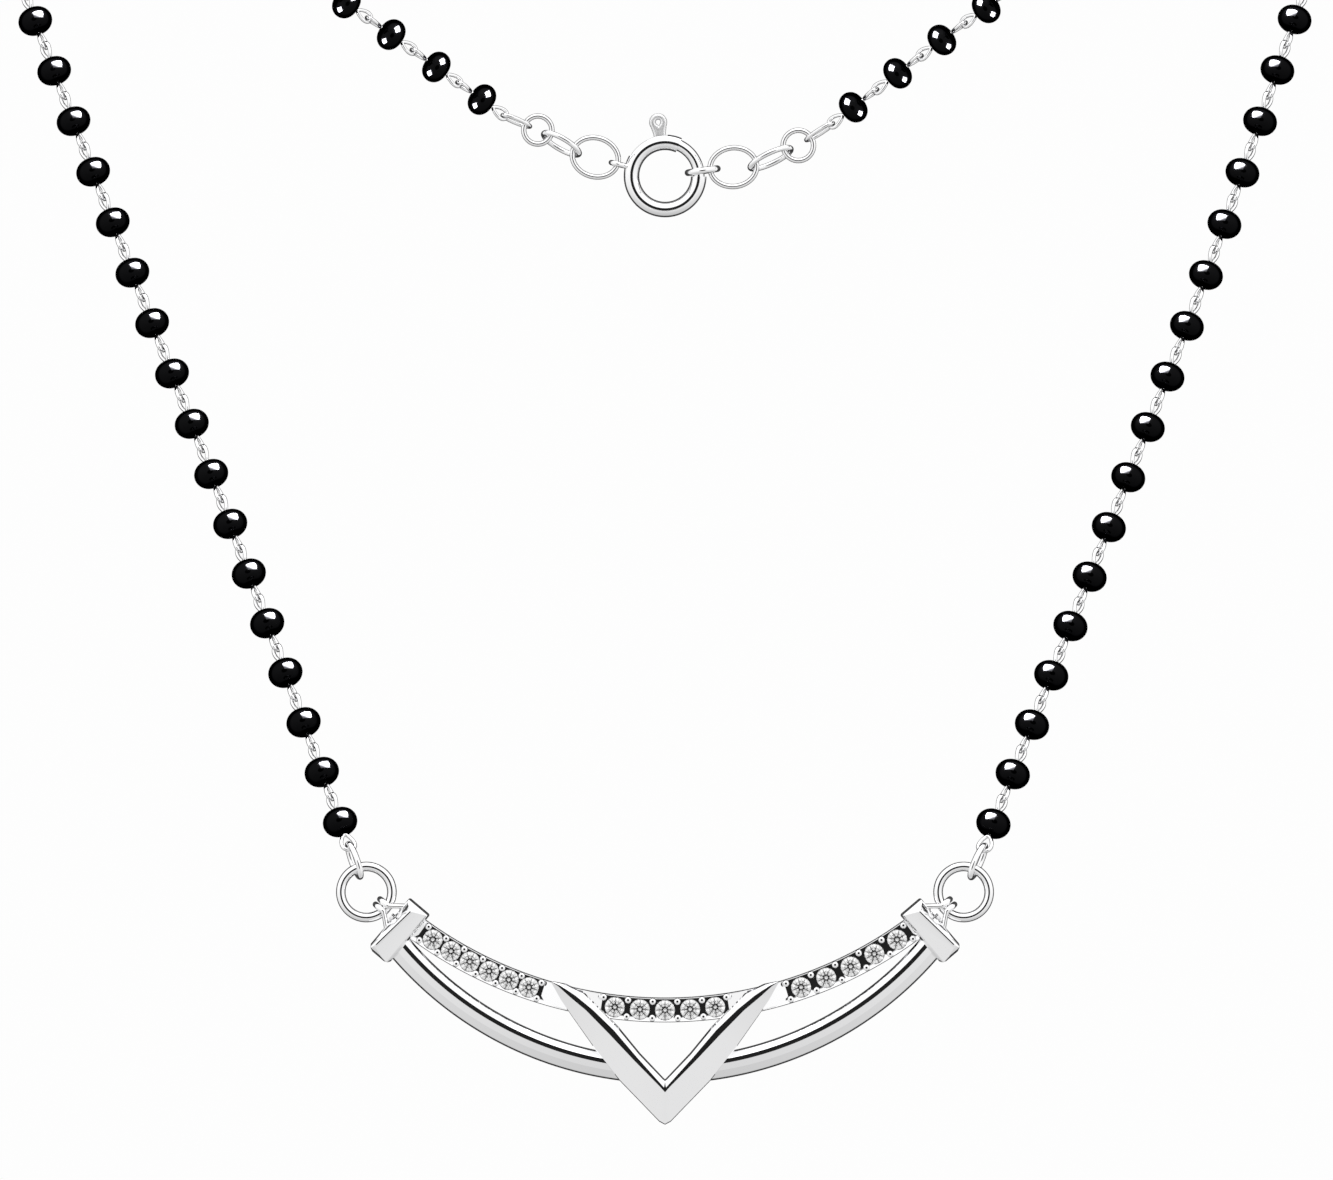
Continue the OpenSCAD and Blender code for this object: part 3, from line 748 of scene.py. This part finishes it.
# Radius from the inner edge, and height. The steep strips at both edges mirror the dark back
ARC_PROFILE = tuple((ARC_IN + r, h) for r, h in (
    (0, 0), (0, 0.80), (0.10, 1.00), (0.13, 1.03), (0.45, 1.265), (0.72, 1.28), (1.15, 1.12),
    (1.58, 0.87), (1.63, 0.82), (ARC_W, 0.62), (ARC_W, 0)))
arc_end = math.degrees(math.asin(CAP_X / ARC_IN))
for side in SIDES:
    bm = bmesh.new()
    spun_bar(bm, ARC_PROFILE, (0, ARC_Y, 0), 270 + ARC_FROM, arc_end - ARC_FROM, 48)
    pendant_piece("lower_arc_" + side, bm, 7, mirrored(side))

# %% [markdown]
# ## Chevron
#
# The chevron's arms are broad at the point and taper to sharp tips. A row of cross-sections runs
# from the middle to one tip, each a share of the chevron's size, and the other arm mirrors it.
# Neighbouring sections are bridged. The flat band along the ridge is narrow beside the point,
# broadest half way along the arm, and narrow again at the tip.

# %% Chevron
CHEVRON_W = 15.1
CHEVRON_H = 9.52
CHEVRON_DROP = 7.62
RIDGE_H = 1.85
EDGE_H = 1.3
OUTER_SLOPE = 0.4
INNER_SLOPE = 0.36
STRIP, STRIP_MOST = 0.1, 0.4
EDGE_BEVEL, EDGE_SHARE = 0.12, 0.03
# Outer edge, ridge and inner edge as shares of half the width and of the height, then the share
# of the inner slope that the band takes, and the height of the ridge
CHEVRON_ROWS = (
    (0.000, 0.000, 0.000, 0.228, 0.000, 0.315, 0.80, 1.00),
    (0.012, 0.005, 0.010, 0.237, 0.005, 0.319, 0.30, 1.00),
    (0.050, 0.021, 0.040, 0.264, 0.020, 0.331, 0.30, 1.00),
    (0.400, 0.308, 0.271, 0.450, 0.220, 0.499, 0.46, 1.00),
    (0.620, 0.532, 0.497, 0.640, 0.411, 0.684, 0.52, 0.985),
    (0.820, 0.758, 0.695, 0.800, 0.572, 0.812, 0.46, 0.97),
    (0.920, 0.875, 0.834, 0.892, 0.702, 0.918, 0.36, 0.96),
    (0.980, 0.963, 0.940, 0.968, 0.874, 0.983, 0.30, 0.95),
    (1.000, 0.992, 0.995, 0.997, 0.985, 1.000, 0.28, 0.945))


def chevron_section(bm, row, sign):
    """A cross-section of an arm: outer slope, flat band, inner slope and a steep strip."""
    outer, ridge, inner = (Vector((sign * x * CHEVRON_W / 2, y * CHEVRON_H - CHEVRON_DROP))
                           for x, y in (row[0:2], row[2:4], row[4:6]))
    band = ridge.lerp(inner, row[6])
    width = (inner - band).length
    strip = inner.lerp(band, min(STRIP_MOST, STRIP / width))
    top = row[7] * RIDGE_H
    low = max(EDGE_H, top - OUTER_SLOPE * (ridge - outer).length)
    fall = INNER_SLOPE * width
    return closed_outline(bm, [(*p, z) for p, z in (
        (outer, 0), (outer, low - EDGE_BEVEL), (outer.lerp(ridge, EDGE_SHARE), low), (ridge, top),
        (band, top), (strip, top - fall), (inner, top - fall - 2 * STRIP), (inner, 0))])


def make_chevron():
    bm = bmesh.new()
    arms = [(row, -1) for row in CHEVRON_ROWS[:0:-1]] + [(row, 1) for row in CHEVRON_ROWS]
    sections = [chevron_section(bm, row, sign) for row, sign in arms]
    for a, b in zip(sections, sections[1:]):
        bmesh.ops.bridge_loops(bm, edges=a[1] + b[1])
    for verts, _ in (sections[0], sections[-1]):
        bm.faces.new(verts)
    pendant_piece("chevron", bm, 9)


make_chevron()

# %% [markdown]
# ## End caps
#
# Each cap is a small block that holds both bars. It is bridged between two cross-sections, because
# its ridge runs a little askew: it is close to the outer edge at the lower end and nearer the
# middle at the upper end. Planes then slice off the bevel at the upper end, the round of the
# lower end in three steps, and the corners as seen from the front. A fine bevel softens every
# edge that is left.

# %% End caps
CAP_TILT = 40.295
CAP_LEN = 4.4
CAP_T = 1.78
CAP_H = 2.1
RIDGE_LOW = 0.56
RIDGE_HIGH = 0.12
CAP_SOFT = 0.025
cap_y = (BAR_R - math.sqrt(BAR_R ** 2 - CAP_X ** 2)
         + ARC_Y - math.sqrt((ARC_R - ARC_W / 2) ** 2 - CAP_X ** 2)) / 2
CAP = Matrix.Translation((CAP_X, cap_y, 0)) @ Matrix.Rotation(math.radians(CAP_TILT), 4, "Z")
# Slices off the ends: place along the cap and height of a point, and the slope of the plane
CAP_SLICES = ((1.50, CAP_H, 44), (2.13, 0, 86), (-1.70, CAP_H, 22), (-1.90, 2.02, 44),
              (-2.08, 1.85, 68))
# Slices off the corners, seen from the front: a point and the direction of each
CAP_CORNERS = ((CAP_T / 2 - 0.02, -1.9, -35), (CAP_T / 2 - 0.24, -2.12, -65),
               (-CAP_T / 2 + 0.02, -1.95, -145), (-CAP_T / 2 + 0.22, -2.14, -115),
               (CAP_T / 2 - 0.1, 2.13, 50), (-CAP_T / 2 + 0.1, 2.13, 130))


def cap_section(bm, along, ridge):
    """A cross-section of the cap, whose ridge is a flat strip that faces the lens."""
    t = CAP_T / 2
    return closed_outline(bm, [(x, along, z) for x, z in (
        (-t, 0), (-t, 1.34), (-t + 0.10, 1.56), (-t + 0.20, 1.68), (ridge - 0.07, CAP_H - 0.06),
        (ridge, CAP_H), (ridge + 0.13, CAP_H), (t - 0.10, 1.74), (t, 1.52), (t, 0))])


def slice_off(bm, point, normal):
    """Cuts away what lies beyond a plane and closes the cut."""
    cut = bmesh.ops.bisect_plane(bm, geom=bm.verts[:] + bm.edges[:] + bm.faces[:], dist=0.0001,
                                 plane_co=point, plane_no=normal, clear_outer=True)["geom_cut"]
    bmesh.ops.contextual_create(bm, geom=edges_of(cut))


def make_cap(side):
    bm = bmesh.new()
    low = cap_section(bm, -CAP_LEN / 2, RIDGE_LOW)
    high = cap_section(bm, CAP_LEN / 2, RIDGE_HIGH)
    bmesh.ops.bridge_loops(bm, edges=low[1] + high[1])
    for verts, _ in (low, high):
        bm.faces.new(verts)
    bmesh.ops.recalc_face_normals(bm, faces=bm.faces)
    for along, height, slope in CAP_SLICES:
        lean = math.radians(slope)
        slice_off(bm, (0, along, height),
                  (0, math.copysign(math.sin(lean), along), math.cos(lean)))
    for x, along, way in CAP_CORNERS:
        slice_off(bm, (x, along, 0),
                  (math.cos(math.radians(way)), math.sin(math.radians(way)), 0))
    bmesh.ops.bevel(bm, geom=bm.edges[:], offset=CAP_SOFT, offset_type="OFFSET", segments=1,
                    profile=0.5, affect="EDGES", material=-1)
    pendant_piece("end_cap_" + side, bm, 12, mirrored(side), CAP)


for side in SIDES:
    make_cap(side)

# %% [markdown]
# ## Bails
#
# A bail of two loops side by side grips each jump ring. Each loop is one wire that comes out of
# the cap, turns round the ring and goes back, with its legs spread at the cap. A small wedge
# joins the legs there.

# %% Bails
BAIL_WIRE = 0.4
BAIL_GAP = 0.18
BAIL_REACH = 0.74
BAIL_SHIFT = 0.54
BAIL_SPLIT = 0.46
BAIL_SPREAD = 1.7
RING_WIRE = 0.64
LEG_INSIDE, LEG_SPREAD = 0.3, 1.4
# The wedge's two ends: X, half the width and half the height
WEB_ENDS = ((-BAIL_REACH - 0.1, BAIL_SPREAD / 2, 0.5), (-0.56, BAIL_SPLIT / 2 + 0.1, 0.3))
bail_r = RING_WIRE / 2 + BAIL_GAP + BAIL_WIRE / 2
BAIL = CAP @ Matrix.Translation((CAP_T / 2 + BAIL_REACH, BAIL_SHIFT, SWING_H))


def add_bail_loop(bm, sign):
    """One loop in the XZ plane of the bail. Its middle is the ring's wire, and the cap is at -X."""
    spread = (BAIL_SPREAD - BAIL_SPLIT) / 2 * LEG_SPREAD
    lean = Vector((-BAIL_REACH - LEG_INSIDE, sign * spread, 0))
    start = bmesh.ops.create_circle(bm, segments=16, radius=BAIL_WIRE / 2)["verts"]
    bmesh.ops.rotate(bm, verts=start, matrix=Matrix.Rotation(math.pi / 2, 3, "Y"))
    bmesh.ops.translate(bm, verts=start, vec=Vector((0, 0, bail_r)) + lean)
    geometry = start + list({e for v in start for e in v.link_edges})
    leg = bmesh.ops.extrude_edge_only(bm, edges=edges_of(geometry))["geom"]
    bmesh.ops.translate(bm, verts=verts_of(leg), vec=-lean)
    bend = bmesh.ops.spin(bm, geom=verts_of(leg) + [e for e in edges_of(leg) if all(
        v in verts_of(leg) for v in e.verts)], cent=(0, 0, 0), axis=(0, 1, 0), angle=math.pi,
        steps=20)["geom_last"]
    back = bmesh.ops.extrude_edge_only(bm, edges=edges_of(bend))["geom"]
    bmesh.ops.translate(bm, verts=verts_of(back), vec=lean)
    loop = island_of(start[0])
    bmesh.ops.translate(bm, verts=loop, vec=(0, sign * BAIL_SPLIT / 2, 0))
    rims = {e for v in loop for e in v.link_edges if e.is_boundary}
    bmesh.ops.holes_fill(bm, edges=list(rims))


def add_web(bm):
    """The solid wedge that joins the loops' legs in front of the cap."""
    corners = [bm.verts.new((x, side * y, z)) for x, y, tall in WEB_ENDS
               for side in (-1, 1) for z in (-tall, tall)]
    bmesh.ops.convex_hull(bm, input=corners)


for side in SIDES:
    bm = bmesh.new()
    add_web(bm)
    for sign in (-1, 1):
        add_bail_loop(bm, sign)
    pendant_piece("bail_" + side, bm, 60, mirrored(side), BAIL)

# %% [markdown]
# ## Stone bar
#
# The bar is a curved channel with two thin rails, and its floor rises a little towards the lower
# rail. The floor is drilled under every stone, as a setter opens the back of a seat to let light
# in, so a Boolean modifier takes the drillings out of the spun channel. The stones hang over the
# seats' edges, held by small beads of metal.

# %% Stone bar
BAR_FLOOR = 0.75
RAIL_H = 1.02
RAIL_T = 0.1
RAIL_BEVEL = 0.12
FLOOR_FLAT, FLOOR_RISE = 0.28, 0.1
SEAT_D = 1.15
LEFT_STEP, MIDDLE_STEP, RIGHT_STEP = 1.431, 1.672, 1.786
SIDE_START = 9.219


def along_bar(start, step, numbers):
    """Angles in degrees of places along the bar, from lengths."""
    return [math.degrees((start + i * step) / BAR_R) for i in numbers]


def between(numbers):
    return [i - 0.5 for i in numbers] + [numbers[-1] + 0.5]


LEFT, MIDDLE, RIGHT = range(6), range(-2, 3), range(5)
STONE_ANGLES = (along_bar(-SIDE_START, -LEFT_STEP, LEFT[::-1])
                + along_bar(0, MIDDLE_STEP, MIDDLE) + along_bar(SIDE_START, RIGHT_STEP, RIGHT))
PRONG_ANGLES = (along_bar(-SIDE_START, -LEFT_STEP, between(LEFT))
                + along_bar(0, MIDDLE_STEP, between(MIDDLE))
                + along_bar(SIDE_START, RIGHT_STEP, between(RIGHT)))
half = BAR_W / 2
BAR_IN, BAR_OUT = BAR_R - half, BAR_R + half
BAR_PROFILE = (
    (BAR_IN, 0), (BAR_IN, RAIL_H - RAIL_BEVEL), (BAR_IN + 0.05, RAIL_H),
    (BAR_IN + RAIL_T, RAIL_H - 0.01), (BAR_IN + RAIL_T, BAR_FLOOR), (BAR_R + FLOOR_FLAT, BAR_FLOOR),
    (BAR_OUT - RAIL_T, BAR_FLOOR + FLOOR_RISE), (BAR_OUT - RAIL_T, RAIL_H - 0.01),
    (BAR_OUT - 0.05, RAIL_H), (BAR_OUT, RAIL_H - RAIL_BEVEL), (BAR_OUT, 0))


def on_bar(angle):
    """The place on the bar's middle line that lies this many degrees from its lowest point."""
    return (Matrix.Translation((0, BAR_R, 0)) @ Matrix.Rotation(math.radians(angle), 4, "Z")
            @ Matrix.Translation((0, -BAR_R, 0)))


def make_bar():
    bar_end = math.degrees(math.asin(CAP_X / BAR_OUT))
    bm = bmesh.new()
    spun_bar(bm, BAR_PROFILE, (0, BAR_R, 0), 270 - bar_end, 2 * bar_end, 96)
    bar = pendant_piece("stone_bar", bm, 30)
    bm = bmesh.new()
    for angle in STONE_ANGLES:
        drill = bmesh.ops.create_cone(bm, cap_ends=True, segments=32, radius1=SEAT_D / 2,
                                      radius2=SEAT_D / 2, depth=3)["verts"]
        bmesh.ops.transform(bm, matrix=on_bar(angle), verts=drill)
    cut_away(bar, bm, PENDANT, crisp=30)


def cut_away(piece, bm, place, crisp):
    """Takes a closed bmesh, which it also frees, out of a piece with a Boolean modifier."""
    bmesh.ops.transform(bm, matrix=Matrix.Scale(MM, 4) @ place, verts=bm.verts)
    bmesh.ops.recalc_face_normals(bm, faces=bm.faces)
    cutter = add_object("cutter", as_mesh(bm, "cutter"))
    cut = piece.modifiers.new("cut", "BOOLEAN")
    cut.operation, cut.solver, cut.object = "DIFFERENCE", "EXACT", cutter
    bpy.context.view_layer.update()
    shape = bpy.data.meshes.new_from_object(
        piece.evaluated_get(bpy.context.evaluated_depsgraph_get()))
    piece.modifiers.clear()
    piece.data = shape
    shade(shape, crisp)
    bpy.data.objects.remove(cutter)
    print(f"{piece.name}: {len(shape.polygons)} faces after the cut")


make_bar()

# %% [markdown]
# ## Prongs
#
# Between two stones a pair of small round posts is raised, and their tops are spread over both
# girdles. A post is its half outline, a flattened dome on a straight neck, spun round.

# %% Prongs
PRONG_D = 0.42
PRONG_TOP = 1.16
PRONG_DOME = 0.085
PRONG_IN_RAIL, PRONG_IN_FLOOR = 0.04, 0.05
PRONG_OFF = half - RAIL_T - PRONG_D / 2 + PRONG_IN_RAIL


def one_prong():
    bm = bmesh.new()
    turns = [math.radians(15 * k) for k in range(7)]
    outline = [(PRONG_D / 2 * math.sin(t), 0, PRONG_TOP + PRONG_DOME * (math.cos(t) - 1))
               for t in turns] + [(PRONG_D / 2, 0, BAR_FLOOR - PRONG_IN_FLOOR)]
    verts = [bm.verts.new(p) for p in outline]
    edges = [bm.edges.new(pair) for pair in zip(verts, verts[1:])]
    bmesh.ops.spin(bm, geom=verts + edges, cent=(0, 0, 0), axis=(0, 0, 1),
                   angle=2 * math.pi, steps=24, use_merge=True)
    bmesh.ops.remove_doubles(bm, verts=bm.verts, dist=0.0005)
    bmesh.ops.holes_fill(bm, edges=[e for e in bm.edges if e.is_boundary])
    return as_mesh(bm, "one_prong")


def make_prongs():
    prong = one_prong()
    bm = bmesh.new()
    for angle in PRONG_ANGLES:
        for sign in (-1, 1):
            add_copy(bm, prong, on_bar(angle) @ Matrix.Translation((0, sign * PRONG_OFF, 0)))
    pendant_piece("prongs", bm, 60)


make_prongs()

# %% [markdown]
# ## Ends of the rows
#
# Each row of stones ends in a little ramp that climbs out of the channel, towards a cap or under
# the chevron. It is the convex hull of its six corners.

# %% Ramps
RAMP_RISE = 0.42
# The row's last stone, and the lengths along the bar from it to the ramp's foot and head
RAMPS = ((STONE_ANGLES[0], -1, 0.95, 2.2), (STONE_ANGLES[5], 1, 0.95, 2.8),
         (STONE_ANGLES[6], -1, 0.9, 2.3), (STONE_ANGLES[10], 1, 0.9, 2.3),
         (STONE_ANGLES[11], -1, 1.0, 2.8), (STONE_ANGLES[15], 1, 1.1, 2.3))


def make_ramps():
    bm = bmesh.new()
    inside = half - RAIL_T
    for angle, way, foot, head in RAMPS:
        corners = []
        for length, z in ((foot, BAR_FLOOR), (head, BAR_FLOOR), (head, BAR_FLOOR + RAMP_RISE)):
            place = on_bar(angle + way * math.degrees(length / BAR_R))
            corners += [bm.verts.new(place @ Vector((0, side * inside, z))) for side in (-1, 1)]
        bmesh.ops.convex_hull(bm, input=corners)
    pendant_piece("row_ends", bm, 10)


make_ramps()

# %% [markdown]
# ## Stones
#
# A round brilliant is convex, so its facets follow from its corners alone: rings of points for the
# table, the star facets, the girdle and the lower halves, and one point for the culet. The convex
# hull operator draws the facets, and dissolving flat edges joins their triangles into kites.

# %% Stones
STONE_R = 0.665
GIRDLE_AT = BAR_FLOOR + 0.15
GIRDLE_T = 0.03
# Rings of corners: radius, height over the girdle's lower edge, number, and turn in degrees
BRILLIANT_RINGS = ((0.37, 0.23, 8, 0), (0.505, 0.164, 8, 22.5), (STONE_R, GIRDLE_T, 16, 0),
                   (STONE_R, 0, 16, 0), (0.146, -0.454, 8, 22.5))
CULET = (0, 0, -0.57)


def one_stone():
    bm = bmesh.new()
    for radius, height, number, turn in BRILLIANT_RINGS:
        ring = bmesh.ops.create_circle(bm, segments=number, radius=radius)["verts"]
        bmesh.ops.rotate(bm, verts=ring, matrix=Matrix.Rotation(math.radians(turn), 3, "Z"))
        bmesh.ops.translate(bm, verts=ring, vec=(0, 0, height))
    bm.verts.new(CULET)
    bmesh.ops.delete(bm, geom=bm.edges[:], context="EDGES_FACES")
    bmesh.ops.convex_hull(bm, input=bm.verts[:])
    bmesh.ops.dissolve_limit(bm, angle_limit=math.radians(1), verts=bm.verts[:],
                             edges=bm.edges[:])
    return as_mesh(bm, "brilliant")


brilliant = one_stone()
for i, angle in enumerate(STONE_ANGLES, start=1):
    bm = bmesh.new()
    add_copy(bm, brilliant, on_bar(angle) @ Matrix.Translation((0, 0, GIRDLE_AT)))
    finish_piece(f"brilliant_{i}", bm, stone_glass, "pendant", [f"stone_{i}"], PENDANT,
                 crisp=0.5)

# %% [markdown]
# ## Clasp
#
# The spring ring is a hollow tube with a gap, and the gate is a smaller bar that slides inside it.
# The tube's wall is a ring-shaped profile spun through most of a turn. A Boolean modifier opens the
# slot in which the gate's thumb lever runs.

# %% Clasp ring
CLASP_D = 5.94
TUBE_D = 1.12
TUBE_WALL = 0.09
MOUTH_TOP = 66
MOUTH_LOW = 1
LEVER_AT = 97.4
GATE_TRAVEL = 42
LEVER_T = 0.4
LEVER_NECK = 0.9
SLOT_SLACK = 0.1
EYE_AT = 166
CLASP_LINK_WIRE = 0.38
clasp_joint = next(j for j in frame["joints"] if j["name"] == "clasp_gate")
clasp_middle = Vector(clasp_joint["pos_m"]) / MM
CLASP = Matrix.Translation(clasp_middle) @ Matrix.Rotation(math.pi / 2, 4, "X")
clasp_r = (CLASP_D - TUBE_D) / 2
bore_d = TUBE_D - 2 * TUBE_WALL


def spun_round(bm, faces, middle_r, start, sweep, steps):
    """Bends a flat cross-section, drawn in the XY plane, round the clasp's middle."""
    verts = list({v for f in faces for v in f.verts})
    bmesh.ops.rotate(bm, verts=verts, matrix=Matrix.Rotation(math.pi / 2, 3, "X"))
    bmesh.ops.translate(bm, verts=verts, vec=(middle_r, 0, 0))
    bmesh.ops.rotate(bm, verts=verts, matrix=Matrix.Rotation(math.radians(start), 3, "Z"))
    bmesh.ops.spin(bm, geom=faces, cent=(0, 0, 0), axis=(0, 0, 1),
                   angle=math.radians(sweep), steps=steps)


def make_clasp_ring():
    bm = bmesh.new()
    for diameter in (TUBE_D, bore_d):
        bmesh.ops.create_circle(bm, segments=36, radius=diameter / 2)
    wall = bmesh.ops.bridge_loops(bm, edges=bm.edges[:])["faces"]
    spun_round(bm, wall, clasp_r, MOUTH_TOP, 360 - MOUTH_TOP - MOUTH_LOW, 120)
    ring = finish_piece("clasp_tube", bm, clasp_metal, "string", ["clasp_ring"],
                        CLASP, crisp=40)
    slot_half = math.degrees(math.asin((LEVER_NECK / 2 + SLOT_SLACK) / (clasp_r + bore_d / 2)))
    bm = bmesh.new()
    square = bmesh.ops.create_circle(bm, cap_ends=True, segments=4, radius=math.sqrt(2))["verts"]
    bmesh.ops.rotate(bm, verts=square, matrix=Matrix.Rotation(math.pi / 4, 3, "Z"))
    bmesh.ops.scale(bm, verts=square, vec=(TUBE_D / 2, LEVER_T / 2 + SLOT_SLACK, 1))
    spun_round(bm, bm.faces[:], clasp_r + TUBE_D / 2, LEVER_AT - slot_half,
               GATE_TRAVEL + 2 * slot_half, 40)
    cut_away(ring, bm, CLASP, crisp=40)


make_clasp_ring()

# %% [markdown]
# The tube's own small eye, soldered on at the left, takes the first oval link.

# %% Clasp eye
EYE_SUNK = 0.09
eye_r = CLASP_LINK_WIRE + LINK_GAP
eye_from_middle = (CLASP_D - TUBE_WALL) / 2 - EYE_SUNK + eye_r + CLASP_LINK_WIRE / 2
eye_size = 2 * eye_r + CLASP_LINK_WIRE
bm = bmesh.new()
wire_loop(bm, oval_places(eye_size, eye_size, CLASP_LINK_WIRE), CLASP_LINK_WIRE)
finish_piece("clasp_eye", bm, clasp_metal, "string", ["clasp_ring"],
             CLASP @ Matrix.Rotation(math.radians(EYE_AT), 4, "Z")
             @ Matrix.Translation((eye_from_middle, 0, 0)), crisp=60)

# %% [markdown]
# ## Gate and thumb lever
#
# The gate is a round bar with closed ends. Its lever is a flat plate cut from sheet: a round knob
# on a neck, pierced by a drop-shaped hole. A filled curve with the hole as a second outline makes
# such a plate at once, with its edges rounded by the curve's own bevel.

# %% Clasp gate
GATE_GAP = 0.05
GATE_TIP = MOUTH_LOW + 6
GATE_TAIL = LEVER_AT + 14
KNOB_D = 1.29
KNOB_OUT = 1.56
KNOB_OPEN = 122
LEVER_ROUND = 0.19
LEVER_ROOT, NECK_END = 0.1, 0.12
HOLE_R, HOLE_OPEN, HOLE_SHIFT, HOLE_POINT = 0.17, 125, 0.02, 0.55
gate_d = bore_d - 2 * GATE_GAP
knob_at = CLASP_D / 2 + KNOB_OUT - KNOB_D / 2


def make_gate_bar():
    bm = bmesh.new()
    bmesh.ops.create_circle(bm, cap_ends=True, segments=32, radius=gate_d / 2)
    spun_round(bm, bm.faces[:], clasp_r, -GATE_TIP, GATE_TIP + GATE_TAIL, 64)
    finish_piece("gate_bar", bm, clasp_metal, "gate", ["clasp_gate"], CLASP,
                 crisp=40)


def arc_points(middle_x, radius, start, end, number):
    angles = [math.radians(start + (end - start) * k / (number - 1)) for k in range(number)]
    return [(middle_x + radius * math.cos(a), radius * math.sin(a)) for a in angles]


def lever_outlines():
    """The plate's outline and its hole's, shrunk by the edge's rounding where they need it."""
    r = KNOB_D / 2 - LEVER_ROUND
    neck = LEVER_NECK / 2 - LEVER_ROUND
    root, end = clasp_r + LEVER_ROOT, CLASP_D / 2 + NECK_END
    outer = arc_points(knob_at, r, -KNOB_OPEN, KNOB_OPEN, 40)
    outer += [(end, neck), (root, neck), (root, -neck), (end, -neck)]
    hole = arc_points(knob_at + HOLE_SHIFT, HOLE_R + LEVER_ROUND, -HOLE_OPEN, HOLE_OPEN, 20)
    hole += [(knob_at - HOLE_POINT, 0)]
    return outer, hole


def make_lever():
    curve = bpy.data.curves.new("lever_outline", "CURVE")
    curve.dimensions = "2D"
    curve.fill_mode = "BOTH"
    curve.extrude = LEVER_T / 2 - LEVER_ROUND
    curve.bevel_depth = LEVER_ROUND
    curve.bevel_resolution = 3
    for points in lever_outlines():
        spline = curve.splines.new("POLY")
        spline.points.add(len(points) - 1)
        for point, (x, y) in zip(spline.points, points):
            point.co = (x, y, 0, 1)
        spline.use_cyclic_u = True
    drawn = add_object("lever_outline", curve)
    bpy.context.view_layer.update()
    mesh = bpy.data.meshes.new_from_object(drawn)
    bpy.data.objects.remove(drawn)
    bm = bmesh.new()
    bm.from_mesh(mesh)
    bmesh.ops.remove_doubles(bm, verts=bm.verts, dist=0.001)
    finish_piece("thumb_lever", bm, satin_metal, "gate", ["clasp_gate"],
                 CLASP @ Matrix.Rotation(math.radians(LEVER_AT), 4, "Z"), crisp=35)


make_gate_bar()
make_lever()
